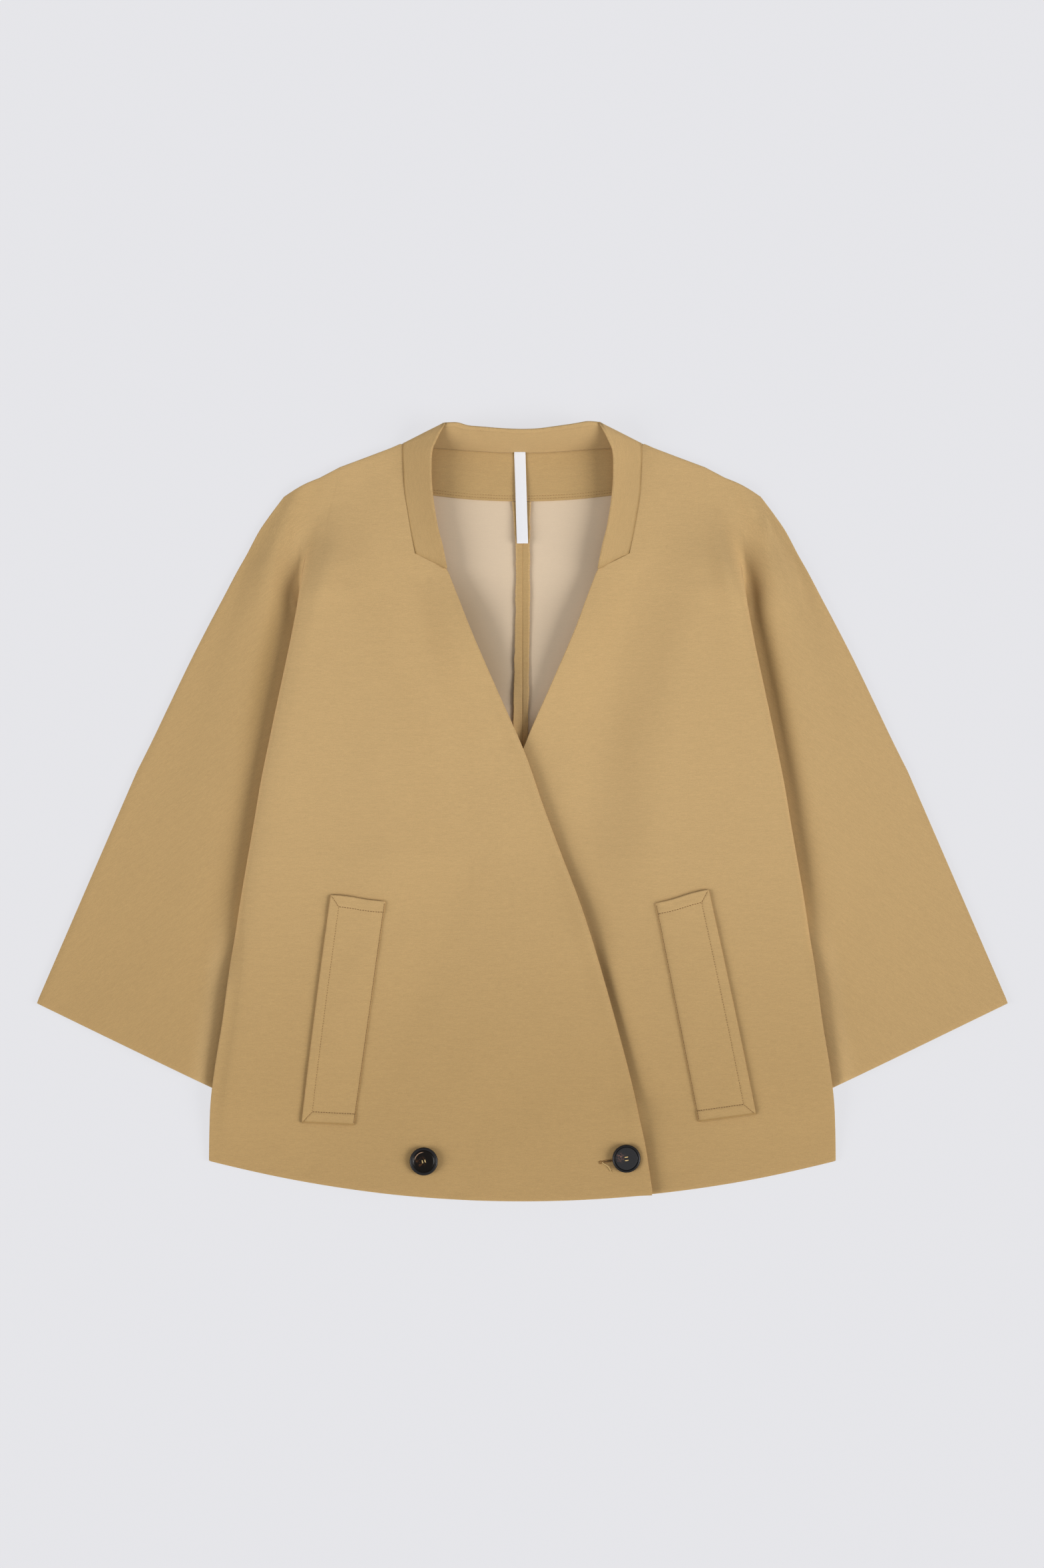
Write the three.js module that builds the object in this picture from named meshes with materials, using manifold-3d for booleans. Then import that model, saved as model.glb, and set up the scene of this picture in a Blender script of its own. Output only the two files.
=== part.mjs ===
// Short double-breasted jacket with grown-on sleeves, laid flat on its back.
// Millimetres, +Z up, +Y towards the collar, X = 0 on the centre back seam, resting on Z = 0.
// Every panel is cut for the side x > 0 and mirrored for the other; "out" is the distance from X = 0.

import * as THREE from "three";
import { mergeVertices } from "three/addons/utils/BufferGeometryUtils.js";
import Module from "manifold-3d";

// ---- cloth and construction ------------------------------------------------------------------
const CLOTH = 1.6; // double-faced coating, one layer
const SEAM_GAP = 0.4; // clearance between layers that touch
const PITCH = CLOTH + SEAM_GAP; // distance between the middles of two layers that touch
const SEAM_HALF = 0.15; // each panel stops this far from a seam line
const BACK_REST = CLOTH / 2; // middle of a back panel that lies on the surface
const PAIR_REST = BACK_REST + PITCH / 2; // half way between back and front where both lie flat
const COLLAR_CLOTH = 2.4; // the collar band is two layers sewn together
const FACING_CLOTH = 1.2;
const ALLOWANCE_CLOTH = 1.0;
const LABEL_CLOTH = 1.0;
const WELT_CLOTH = 2.0;

// ---- the tuck under the arm ------------------------------------------------------------------
const BEND_ARC = Math.PI * 3.6; // length of cloth in each of the two bends of the tuck
const YOUNG_ARC = 9; // the same where the tuck fades out towards the shoulder
const YOUNG_MIDDLE = 1.5; // cloth between the two bends there
const YOUNG_REACH = 10; // and how far its edge lies outside the start of its bend
const TUCK_EDGE = 5.4; // the body's visible edge lies this far outside the start of its bend
const TUCK_FALL = (4 * BEND_ARC) / Math.PI; // height lost over a fully folded tuck
const GORE_MARGIN = 60; // the body starts to climb over the hidden sleeve this far inside it
const TUCK_CLEAR = 12; // and has finished climbing this far inside it

// ---- lengths and heights ---------------------------------------------------------------------
const HEM_CENTRE = -334.3; // the hem's lowest point
const HEM_RISE = 4.75e-4; // the hem rises by this times the square of the distance out
const BACK_HEM_SHORTER = 1.2;
const LAP_RISE = 4.4; // the lapping front lies this much above the other
const BODY_LOFT = 2.5; // air between front and back of the body
const SLEEVE_LOFT = 3.2; // air between front and back in the middle of a sleeve
const FRONT_COLLAR_CROWN = 1.6; // how much the folded collar rounds up between its edges
const STAND_CROWN = 1.2;
const CUFF_CORNER = [415.3, -164.5];
const CUFF_INNER = [225.5, -256];

const MERGE_DISTANCE = 0.05; // corners of a cut piece nearer than this are one
// ---- how finely the panels are divided -------------------------------------------------------
const LAP_STEPS = 4;
const RISE_STEPS = 2;
const GORE_STEPS = 6;
const BEND_STEPS = 4;
const TUCK_STEPS = 2;
const SLEEVE_STEPS = 6;
const SLEEVE_ROWS = 7;
const COLLAR_STEPS = 4;

/** A table with named columns: each row becomes an object. */
const table = (columns, rows) =>
  rows.map((row) => Object.fromEntries(columns.map((column, k) => [column, row[k]])));

// Stations from the shoulder seam down to the underarm. front and back are where the panel starts,
// edge is the visible edge of the tuck, outer the overarm seam; hidden is the depth of the tuck,
// turn the share of a full fold, loft the air under the front's own edge, rows the rows to the next.
const SHOULDER_STATIONS = table(
  ["front", "back", "edge", "outer", "hidden", "turn", "loft", "rows"],
  [
    [[102.4, 314.6], [102.2, 314], [165, 290], [205, 268], 0, 0, 3.4, 1],
    [[101.9, 295], [52, 309.5], [169, 273], [211, 261], 0, 0, 4.4, 1],
    [[100.6, 272.6], [0, 307], [173.5, 258], [218, 251.5], 0, 0, 6, 1],
    [[96.6, 246], [0, 272], [179, 232], [226.4, 239], 4, 0.2, 8, 1],
    [[91.6, 220.2], [0, 240], [184.6, 205], [236.5, 220], 9, 0.6, 9.8, 1],
    [[64.8, 206.8], [0, 215], [190.6, 180], [245.5, 204], 18, 0.95, 11, 1],
    [[55.4, 182], [0, 185], [197.6, 148], [256.5, 183], 34, 1, 11.4, 1],
    [[44.6, 153], [0, 155], [205.5, 112], [270, 157.5], 48, 1, 11, 2],
    [[24.4, 106.5], [0, 108], [214.4, 70], [285.5, 127], 64, 1, 9, 2],
    [[-0.3, 50.5], [0, 52], [223.6, 25], [304, 88], 80, 1, 6, 1],
    [[-16.5, 4], [0, 0], [229.2, -8], [317, 60.5], 91, 1, 4.4, 1],
    [[-33, -40], [0, -40], [234.8, -40], [329.6, 33.6], 100, 1, 2.5, 1],
  ],
);

// Stations from the underarm to the hem; fall is the height of the side seam above the surface pair.
const SIDE_STATIONS = table(
  ["front", "back", "edge", "hidden", "fall", "rows"],
  [
    [[-33, -40], [0, -40], [234.8, -40], 100, TUCK_FALL, 2],
    [[-49, -82], [0, -84], [242.6, -85], 88, 13.2, 2],
    [[-63.6, -128], [0, -130], [249.6, -130], 75, 11.8, 2],
    [[-79.4, -184], [0, -184], [255.8, -178], 61, 10.4, 2],
    [[-91.4, -230], [0, -230], [262.4, -218], 50, 8.8, 1],
    [[-98.8, -263.5], [0, -264], [266.2, -247], 42, 6.6, 1],
    [[-104.2, -289], [0, -290], [267.6, -272], 36, 2.8, 1],
    [[-110, -328.6], [0, HEM_CENTRE], [268.2, -300.2], 30, 0, 1],
  ],
);

// Sections of the folded front collar from its notch to the side of the neck.
const FRONT_COLLAR_SECTIONS = table(
  ["seam", "top"],
  [
    [[90.2, 221.6, 14], [65.6, 209.8, 16.2]],
    [[92.6, 231.6, 13.4], [69, 226.6, 17]],
    [[95.4, 246, 12.4], [73.6, 245, 17.8]],
    [[99.9, 272.6, 10.4], [77.6, 272, 18.6]],
    [[101.2, 295, 8.8], [78.6, 294, 19.6]],
    [[101.6, 309, 7.8], [76.8, 313, 22]],
    [[101.4, 315.6, 7.2], [64.6, 333.8, 26.4]],
  ],
);

// Sections of the standing back collar from the side of the neck to the centre back.
const BACK_COLLAR_SECTIONS = table(
  ["seam", "top"],
  [
    [[99.4, 312.4, 3.4], [63.6, 332.2, 22.8]],
    [[88, 311.4, 2.9], [55, 332.6, 23.6]],
    [[76.6, 310.4, 2.7], [46, 332.2, 24]],
    [[50, 308.4, 2.7], [30, 330.6, 24]],
    [[24, 307, 2.7], [14, 329.4, 24]],
    [[0, 306.4, 2.7], [0, 328.8, 24]],
  ],
);

// Depth of the back neck facing: its upper and lower edge at a distance out.
const FACING_SECTIONS = table(
  ["out", "upper", "lower"],
  [
    [0, 304.6, 265.8],
    [24, 305.2, 266.2],
    [50, 306.4, 268],
    [78, 308.2, 272],
    [90, 308.8, 274],
  ],
);

// The centre back seam allowances, pressed open: how far each reaches at a height.
const ALLOWANCE_SECTIONS = table(
  ["y", "left", "right"],
  [
    [265, 8.6, 7.2],
    [222, 5.6, 6.2],
    [180, 5.8, 6.4],
    [120, 7, 5.6],
    [60, 8.2, 4.6],
    [20, 8, 5],
  ],
);

const WELTS = {
  pocket_welt_right: [[-163, -72.2], [-117.3, -77.4], [-144.2, -268.6], [-188.1, -266.3]],
  pocket_welt_left: [[113.9, -79.1], [158.4, -67.6], [199, -259], [151, -265.8]],
};

// Both buttons show on the lapping front; the fastened one comes through its buttonhole.
const BUTTONS = [
  { name: "button_outer", x: -84.2, y: -299.5, color: 0x2a2320, tilt: [0.03, -0.02] },
  { name: "button_fastened", x: 88.8, y: -297.2, color: 0x33302f, tilt: [0.02, 0.04] },
];
const BUTTON_RADIUS = 12;
const BUTTON_SIDES = 32;
const BUTTON_HOLE = 1.05;
const BUTTON_HOLE_SPREAD = 1.8; // half the side of the square that the four holes stand on
const HOLE_SIDES = 10;
// Radius and height of a button's turned outline, from the middle of its back to that of its face.
const BUTTON_PROFILE = [
  [0, 0],
  [9.6, 0],
  [11.3, 0.8],
  [BUTTON_RADIUS, 2],
  [11.5, 3.1],
  [10.2, 3.6],
  [8.9, 3.1],
  [7.8, 2.5],
  [0, 2.3],
];
const LABEL = { top: [-2.2, 304.8], bottom: [0.3, 226.3], width: 9.4, rows: 8 };

// ---- small mathematics -----------------------------------------------------------------------
const SQUARE = [[-1, -1], [1, -1], [1, 1], [-1, 1]];
const mix = (a, b, t) => a + (b - a) * t;
const smooth = (t) => {
  const c = Math.min(Math.max(t, 0), 1);
  return c * c * (3 - 2 * c);
};
const mixPoint = (a, b, t) => a.map((value, axis) => mix(value, b[axis], t));
const hemAt = (out) => HEM_CENTRE + HEM_RISE * out * out;

/** Straight or Catmull-Rom value between stations k and k + 1 of a named column. */
function between(stations, column, k, t, straight) {
  const read = (i) => [stations[Math.min(Math.max(i, 0), stations.length - 1)][column]].flat();
  const [before, from, to, after] = [read(k - 1), read(k), read(k + 1), read(k + 2)];
  const values = from.map((_, axis) => {
    if (straight) return mix(from[axis], to[axis], t);
    const inward = (to[axis] - before[axis]) / 2;
    const onward = (after[axis] - from[axis]) / 2;
    const rise = to[axis] - from[axis];
    const bend = 3 * rise - 2 * inward - onward;
    const twist = inward + onward - 2 * rise;
    return from[axis] + t * (inward + t * (bend + t * twist));
  });
  return values.length === 1 ? values[0] : values;
}

/** Every row of a table, with the rows between its stations; the named columns stay straight. */
function rowsOf(stations, straightColumns) {
  const rows = [];
  stations.forEach((station, k) => {
    const last = k === stations.length - 1;
    for (let step = 0; step < (last ? 1 : station.rows); step += 1) {
      const row = {};
      for (const column of Object.keys(station)) {
        if (column === "rows") continue;
        const t = step / station.rows;
        row[column] = last
          ? station[column]
          : between(stations, column, k, t, straightColumns.includes(column));
      }
      rows.push(row);
    }
  });
  return rows;
}

// ---- sheets and walls ------------------------------------------------------------------------
/** An open surface: points, triangles, and the normal of each point. */
class Sheet {
  constructor() {
    this.points = [];
    this.triangles = [];
  }

  add(point) {
    this.points.push(point);
    return this.points.length - 1;
  }

  /** Joins rows of point numbers of equal length into quads. */
  weave(rows) {
    for (let i = 0; i + 1 < rows.length; i += 1) {
      for (let j = 0; j + 1 < rows[i].length; j += 1) {
        const [a, c] = rows[i].slice(j, j + 2);
        const [b, d] = rows[i + 1].slice(j, j + 2);
        this.triangles.push([a, b, c], [c, b, d]);
      }
    }
  }

  /** Turns the sheet over from side to side. */
  mirrored() {
    const other = new Sheet();
    other.points = this.points.map((p) => new THREE.Vector3(-p.x, p.y, p.z));
    other.triangles = this.triangles.map(([a, b, c]) => [a, c, b]);
    return other;
  }

  normals() {
    const sums = this.points.map(() => new THREE.Vector3());
    for (const [a, b, c] of this.triangles) {
      const first = this.points[b].clone().sub(this.points[a]);
      const normal = first.cross(this.points[c].clone().sub(this.points[a]));
      for (const corner of [a, b, c]) sums[corner].add(normal);
    }
    return sums.map((sum) => sum.normalize());
  }

  /** The edges that belong to one triangle only, in that triangle's direction. */
  border() {
    const used = new Set();
    for (const [a, b, c] of this.triangles) {
      for (const [from, to] of [[a, b], [b, c], [c, a]]) used.add(`${from},${to}`);
    }
    const edges = [...used].map((edge) => edge.split(",").map(Number));
    return edges.filter(([a, b]) => !used.has(`${b},${a}`));
  }

  /** The closed wall that lies half a thickness to each side of the sheet. */
  wall(thickness) {
    const normals = this.normals();
    const count = this.points.length;
    const positions = [];
    for (const side of [0.5, -0.5]) {
      this.points.forEach((p, i) => {
        const moved = p.clone().addScaledVector(normals[i], side * thickness);
        positions.push(moved.x, moved.y, moved.z);
      });
    }
    const twoSided = ([a, b, c]) => [a, b, c, a + count, c + count, b + count];
    const faces = this.triangles.flatMap(twoSided);
    for (const [a, b] of this.border()) faces.push(b, a, a + count, b, a + count, b + count);
    const geometry = new THREE.BufferGeometry();
    geometry.setAttribute("position", new THREE.Float32BufferAttribute(positions, 3));
    geometry.setIndex(faces);
    geometry.computeVertexNormals();
    return geometry;
  }

  /** The part of the sheet inside a convex outline seen from above, raised by a height. */
  cut(outline, raise) {
    const piece = new Sheet();
    const numberOf = (p) => {
      const raised = new THREE.Vector3(p.x, p.y, p.z + raise);
      const found = piece.points.findIndex((known) => known.distanceTo(raised) < MERGE_DISTANCE);
      return found < 0 ? piece.add(raised) : found;
    };
    const turn = Math.sign(outlineArea(outline));
    for (const triangle of this.triangles) {
      let polygon = triangle.map((corner) => this.points[corner]);
      outline.forEach((from, k) => {
        polygon = keepInside(polygon, from, outline[(k + 1) % outline.length], turn);
      });
      const numbered = polygon.map(numberOf);
      const corners = numbered.filter((corner, k) => corner !== numbered[(k + 1) % numbered.length]);
      for (let k = 1; k + 1 < corners.length; k += 1) {
        const face = [corners[0], corners[k], corners[k + 1]];
        if (new Set(face).size === 3) piece.triangles.push(face);
      }
    }
    return piece;
  }

  /** The sheet's highest point within a radius of a place. */
  highestNear(x, y, radius) {
    const square = SQUARE.map(([u, v]) => [x + u * radius, y + v * radius]);
    return Math.max(...this.cut(square, 0).points.map((p) => p.z));
  }
}

function outlineArea(outline) {
  return outline.reduce((sum, [x, y], k) => {
    const [nextX, nextY] = outline[(k + 1) % outline.length];
    return sum + (x * nextY - nextX * y) / 2;
  }, 0);
}

/** Clips a polygon in space to one side of an edge seen from above. */
function keepInside(polygon, from, to, turn) {
  const [dx, dy] = [to[0] - from[0], to[1] - from[1]];
  const depth = (p) => turn * (dx * (p.y - from[1]) - dy * (p.x - from[0]));
  const kept = [];
  polygon.forEach((p, k) => {
    const next = polygon[(k + 1) % polygon.length];
    const [here, there] = [depth(p), depth(next)];
    if (here >= 0) kept.push(p);
    if (here >= 0 !== there >= 0) kept.push(p.clone().lerp(next, here / (here - there)));
  });
  return kept;
}

// ---- body and sleeve panels ------------------------------------------------------------------
const FRONT_OVER = { start: "front", lap: LAP_RISE };
const FRONT_UNDER = { start: "front", lap: 0 };
const BACK = { start: "back", lap: 0 };

/** Where a row's panel stops climbing: between its own edge and the gore. */
function lapPoint(start, gore) {
  const mirrored = Math.max(-start[0] + 5, 0);
  const share = Math.max((mirrored - start[0]) / (gore[0] - start[0]), 0.35);
  return mixPoint(start, gore, Math.min(share, 0.86));
}

/** One row across the body, from the panel's own edge to the start of the tuck's bend. */
function bodyRow(panel, row, fall, trim) {
  const start = [row[panel.start][0] + trim, row[panel.start][1]];
  const edge = [row.edge[0] - row.reach, row.edge[1]];
  const width = Math.min(row.hidden + GORE_MARGIN, 0.8 * (edge[0] - Math.max(row.front[0], 0)));
  const gore = mixPoint(edge, row.back, width / (edge[0] - row.back[0]));
  const lap = lapPoint(start, gore);
  const frontLoft = row.loft ?? BODY_LOFT;
  const points = [];
  const put = (place, rise, loft) => points.push({ place, height: PAIR_REST + rise, loft });
  for (let j = 0; j < LAP_STEPS; j += 1) {
    const t = j / LAP_STEPS;
    put(mixPoint(start, lap, t), 0, mix(frontLoft, BODY_LOFT, smooth(t)) + panel.lap);
  }
  const narrow = gore[0] - lap[0];
  const lapFade = (out) => panel.lap * (1 - smooth((out - lap[0]) / (narrow + width / 2)));
  for (let j = 0; j < RISE_STEPS; j += 1) {
    const place = mixPoint(lap, gore, j / RISE_STEPS);
    put(place, 0, BODY_LOFT + lapFade(place[0]));
  }
  for (let j = 0; j <= GORE_STEPS; j += 1) {
    const t = j / GORE_STEPS;
    const place = mixPoint(gore, edge, t);
    const climb = (t * width) / Math.max(width - row.hidden - TUCK_CLEAR, width / 4);
    put(place, fall * smooth(climb), BODY_LOFT * (1 - smooth(t)) + lapFade(place[0]));
  }
  return points;
}

/** The tuck across its two bends: its tangent turns down by the angle and back again. */
function tuckRow(edgePoint, inward, row, angle) {
  const arc = mix(YOUNG_ARC, BEND_ARC, smooth((row.turn - 0.4) / 0.6));
  const middle = mix(YOUNG_MIDDLE, row.hidden, smooth((row.turn - 0.8) / 0.2));
  const steps = [
    ...Array(BEND_STEPS).fill([arc / BEND_STEPS, angle / BEND_STEPS]),
    ...Array(TUCK_STEPS).fill([middle / TUCK_STEPS, 0]),
    ...Array(BEND_STEPS).fill([arc / BEND_STEPS, -angle / BEND_STEPS]),
  ];
  const points = [];
  let [across, height, heading] = [0, edgePoint.height, 0];
  for (const [length, bend] of steps) {
    heading += bend / 2;
    across += length * Math.cos(heading);
    height -= length * Math.sin(heading);
    heading += bend / 2;
    const place = edgePoint.place.map((start, axis) => start - inward[axis] * across);
    points.push({ place, height, loft: 0 });
  }
  return points;
}

/** Height that a row loses over its tuck. */
function tuckFall(row) {
  const start = { place: [0, 0], height: 0 };
  return -tuckRow(start, [1, 0], row, row.turn * Math.PI).at(-1).height;
}

/** The unit vector in which the tuck folds: along the row at the shoulder, then square to the edge. */
function inwardAt(rows, i) {
  const [above, below] = [rows[Math.max(i - 1, 0)].edge, rows[Math.min(i + 1, rows.length - 1)].edge];
  const square = new THREE.Vector2(below[1] - above[1], above[0] - below[0]).normalize();
  const { edge, outer, turn } = rows[i];
  const along = new THREE.Vector2(edge[0] - outer[0], edge[1] - outer[1]).normalize();
  const inward = along.lerp(square, smooth(turn * 1.6)).normalize();
  return [inward.x, inward.y];
}

/** Rows of the sleeve between its hidden edge and the overarm seam. */
function sleeveRow(hidden, outer) {
  return Array.from({ length: SLEEVE_STEPS }, (_, j) => {
    const t = (j + 1) / SLEEVE_STEPS;
    const loft = SLEEVE_LOFT * Math.sin(Math.PI * t) ** 2;
    return { place: mixPoint(hidden, outer, t), height: PAIR_REST, loft };
  });
}

/**
 * Half of the front or back with its grown-on sleeve, cut in one piece: the whole sheet, and its
 * skirt alone, which is the body below the underarm that pockets and buttons lie on.
 */
function panelSheet(panel) {
  const mid = new Sheet();
  const lofts = [];
  const lay = (points) =>
    points.map(({ place, height, loft }) => {
      lofts.push(loft);
      return mid.add(new THREE.Vector3(place[0], place[1], height));
    });
  const trim = panel === BACK ? SEAM_HALF : 0;
  const upper = rowsOf(SHOULDER_STATIONS, ["front", "back"]);
  const upperRows = upper.map((row, i) => {
    const fall = tuckFall(row);
    const reached = { ...row, reach: mix(YOUNG_REACH, TUCK_EDGE, smooth(row.turn / 0.7)) };
    const body = bodyRow(panel, reached, fall, trim);
    const tuck = tuckRow(body.at(-1), inwardAt(upper, i), row, row.turn * Math.PI);
    return lay([...body, ...tuck, ...sleeveRow(tuck.at(-1).place, row.outer)]);
  });
  mid.weave(upperRows);

  const bodyColumns = LAP_STEPS + RISE_STEPS + GORE_STEPS + 1;
  const lower = rowsOf(SIDE_STATIONS, ["back"]);
  const shorter = panel === BACK ? BACK_HEM_SHORTER : 0;
  const straightRow = (row, done) =>
    bodyRow(panel, { ...row, reach: mix(TUCK_EDGE, SEAM_GAP, smooth(done * 2.5)) }, row.fall, trim);
  const hemBow = straightRow(lower.at(-1), 1).map(({ place: [out, y] }) => hemAt(out) + shorter - y);
  const lowerRows = lower.slice(1).map((row, i) => {
    const done = (i + 1) / (lower.length - 1);
    const body = straightRow(row, done);
    body.forEach(({ place }, j) => {
      place[1] += hemBow[j] * smooth(done);
    });
    return lay(body);
  });
  const bodyStart = mid.triangles.length;
  mid.weave([upperRows.at(-1).slice(0, bodyColumns), ...lowerRows]);
  const bodyEnd = mid.triangles.length;

  const underarm = upperRows.at(-1).slice(bodyColumns - 1 + 2 * BEND_STEPS + TUCK_STEPS);
  const [hidden, outer] = [underarm[0], underarm.at(-1)].map((k) => [mid.points[k].x, mid.points[k].y]);
  const sleeveRows = [underarm];
  for (let i = 1; i <= SLEEVE_ROWS; i += 1) {
    const t = i / SLEEVE_ROWS;
    const inner = mixPoint(hidden, CUFF_INNER, t);
    const row = sleeveRow(inner, mixPoint(outer, CUFF_CORNER, t));
    sleeveRows.push(lay([{ place: inner, height: PAIR_REST, loft: 0 }, ...row]));
  }
  mid.weave(sleeveRows);

  const normals = mid.normals();
  const sheet = new Sheet();
  sheet.triangles = mid.triangles;
  sheet.points = mid.points.map((p, i) => {
    const distance = panel === BACK ? -PITCH / 2 : PITCH / 2 + lofts[i];
    return p.clone().addScaledVector(normals[i], distance);
  });
  const skirt = new Sheet();
  skirt.points = sheet.points;
  skirt.triangles = sheet.triangles.slice(bodyStart, bodyEnd);
  return { sheet, skirt };
}

// ---- collar, facing, allowances, label -------------------------------------------------------
/** The same sections with a row half way to each next one. */
const halved = (sections) => sections.map((section) => ({ ...section, rows: 2 }));

/** A sheet through sections, each a seam point and a top point, rounded by a crown between them. */
function collarSheet(sections, steps, crown) {
  const sheet = new Sheet();
  const line = ({ seam, top }) =>
    Array.from({ length: steps + 1 }, (_, j) => {
      const t = j / steps;
      const [x, y, z] = mixPoint(seam, top, t);
      return sheet.add(new THREE.Vector3(x, y, z + crown * Math.sin(Math.PI * t)));
    });
  sheet.weave(rowsOf(halved(sections), []).map(line));
  return sheet;
}

/** Turns a sheet's faces the other way. */
function reversed(sheet) {
  const other = new Sheet();
  other.points = sheet.points;
  other.triangles = sheet.triangles.map(([a, b, c]) => [a, c, b]);
  return other;
}

/** A flat strip between two edges, given as pairs of points. */
function stripSheet(pairs, height, steps) {
  const sheet = new Sheet();
  sheet.weave(
    pairs.map(([from, to]) =>
      Array.from({ length: steps + 1 }, (_, j) => {
        const [x, y] = mixPoint(from, to, j / steps);
        return sheet.add(new THREE.Vector3(x, y, height));
      }),
    ),
  );
  return sheet;
}

function facingSheet() {
  const half = rowsOf(halved(FACING_SECTIONS), []);
  const otherHalf = half.slice(1).reverse().map((row) => ({ ...row, out: -row.out }));
  const sections = [...otherHalf, ...half];
  const pairs = sections.map(({ out, upper, lower }) => [[out, lower], [out, upper]]);
  return stripSheet(pairs, CLOTH + SEAM_GAP + FACING_CLOTH / 2, 3);
}

function allowanceSheet(side) {
  const column = side < 0 ? "left" : "right";
  const pairs = ALLOWANCE_SECTIONS.map((row) => [[side * SEAM_HALF, row.y], [side * row[column], row.y]]);
  return stripSheet(pairs, CLOTH + SEAM_GAP + ALLOWANCE_CLOTH / 2, 1);
}

function labelSheet() {
  const height = CLOTH + SEAM_GAP + FACING_CLOTH + SEAM_GAP + LABEL_CLOTH / 2;
  const pairs = Array.from({ length: LABEL.rows + 1 }, (_, i) => {
    const [x, y] = mixPoint(LABEL.top, LABEL.bottom, i / LABEL.rows);
    return [[x - LABEL.width / 2, y], [x + LABEL.width / 2, y]];
  });
  return stripSheet(pairs, height, 2);
}

// ---- buttons ---------------------------------------------------------------------------------
const wasm = await Module();
wasm.setup();

function toSolid(geometry) {
  geometry.deleteAttribute("normal");
  geometry.deleteAttribute("uv");
  const merged = mergeVertices(geometry, 1e-4);
  const vertProperties = new Float32Array(merged.attributes.position.array);
  const triVerts = new Uint32Array(merged.index.array);
  return new wasm.Manifold(new wasm.Mesh({ numProp: 3, vertProperties, triVerts }));
}

/** A turned button with a raised rim, a dished middle and four sewing holes. */
function buttonGeometry() {
  const profile = BUTTON_PROFILE.map(([radius, height]) => new THREE.Vector2(radius, height));
  let button = toSolid(new THREE.LatheGeometry(profile, BUTTON_SIDES));
  for (const [u, v] of SQUARE) {
    const drill = new THREE.CylinderGeometry(BUTTON_HOLE, BUTTON_HOLE, BUTTON_RADIUS, HOLE_SIDES);
    drill.translate(u * BUTTON_HOLE_SPREAD, 0, v * BUTTON_HOLE_SPREAD);
    button = button.subtract(toSolid(drill));
  }
  const mesh = button.getMesh();
  const geometry = new THREE.BufferGeometry();
  geometry.setAttribute("position", new THREE.BufferAttribute(new Float32Array(mesh.vertProperties), 3));
  geometry.setIndex(new THREE.BufferAttribute(new Uint32Array(mesh.triVerts), 1));
  return geometry.rotateX(Math.PI / 2);
}

// ---- the jacket ------------------------------------------------------------------------------
const FACE_CLOTH = { color: 0xbd9f6c, roughness: 0.92, metalness: 0 };
const REVERSE_CLOTH = { color: 0xc9b896, roughness: 0.95, metalness: 0 };
const TAPE = { color: 0xe9e6df, roughness: 0.8, metalness: 0 };

const jacket = new THREE.Group();

function addPiece(name, geometry, finish) {
  const mesh = new THREE.Mesh(geometry, new THREE.MeshStandardMaterial(finish));
  mesh.name = name;
  jacket.add(mesh);
  return mesh;
}

const overFront = panelSheet(FRONT_OVER);
const underFront = panelSheet(FRONT_UNDER);
const back = panelSheet(BACK).sheet;
const rightSkirt = overFront.skirt.mirrored();
const leftSkirt = underFront.skirt;
addPiece("front_right", overFront.sheet.mirrored().wall(CLOTH), FACE_CLOTH);
addPiece("front_left", underFront.sheet.wall(CLOTH), FACE_CLOTH);
addPiece("back_right", back.mirrored().wall(CLOTH), REVERSE_CLOTH);
addPiece("back_left", back.wall(CLOTH), REVERSE_CLOTH);

const frontCollar = reversed(collarSheet(FRONT_COLLAR_SECTIONS, COLLAR_STEPS, FRONT_COLLAR_CROWN));
addPiece("collar_front_left", frontCollar.wall(COLLAR_CLOTH), FACE_CLOTH);
addPiece("collar_front_right", frontCollar.mirrored().wall(COLLAR_CLOTH), FACE_CLOTH);
const halfStand = BACK_COLLAR_SECTIONS;
const otherHalf = halfStand.slice(0, -1).reverse().map(({ seam, top }) => ({
  seam: [-seam[0], seam[1], seam[2]],
  top: [-top[0], top[1], top[2]],
}));
const stand = collarSheet([...halfStand, ...otherHalf], COLLAR_STEPS, STAND_CROWN);
addPiece("collar_back_stand", stand.wall(COLLAR_CLOTH), REVERSE_CLOTH);

addPiece("back_neck_facing", facingSheet().wall(FACING_CLOTH), FACE_CLOTH);
addPiece("seam_allowance_left", reversed(allowanceSheet(1)).wall(ALLOWANCE_CLOTH), FACE_CLOTH);
addPiece("seam_allowance_right", allowanceSheet(-1).wall(ALLOWANCE_CLOTH), FACE_CLOTH);
addPiece("label_tape", labelSheet().wall(LABEL_CLOTH), TAPE);

const weltRaise = CLOTH / 2 + SEAM_GAP + WELT_CLOTH / 2;
for (const [name, outline] of Object.entries(WELTS)) {
  const carrier = outline[0][0] < 0 ? rightSkirt : leftSkirt;
  addPiece(name, carrier.cut(outline, weltRaise).wall(WELT_CLOTH), FACE_CLOTH);
}

for (const { name, x, y, color, tilt } of BUTTONS) {
  const button = addPiece(name, buttonGeometry(), { color, roughness: 0.25, metalness: 0 });
  const seat = rightSkirt.highestNear(x, y, BUTTON_RADIUS * 0.8) + CLOTH / 2 + SEAM_GAP;
  button.position.set(x, y, seat + BUTTON_RADIUS * Math.max(...tilt.map(Math.abs)));
  button.rotation.set(tilt[0], tilt[1], 0);
}

export default jacket;
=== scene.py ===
"""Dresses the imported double-breasted jacket: its cloth, sewing and buttons, the light and the camera."""

import itertools
import logging
import math
from dataclasses import dataclass, field, replace
from enum import Enum

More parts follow.
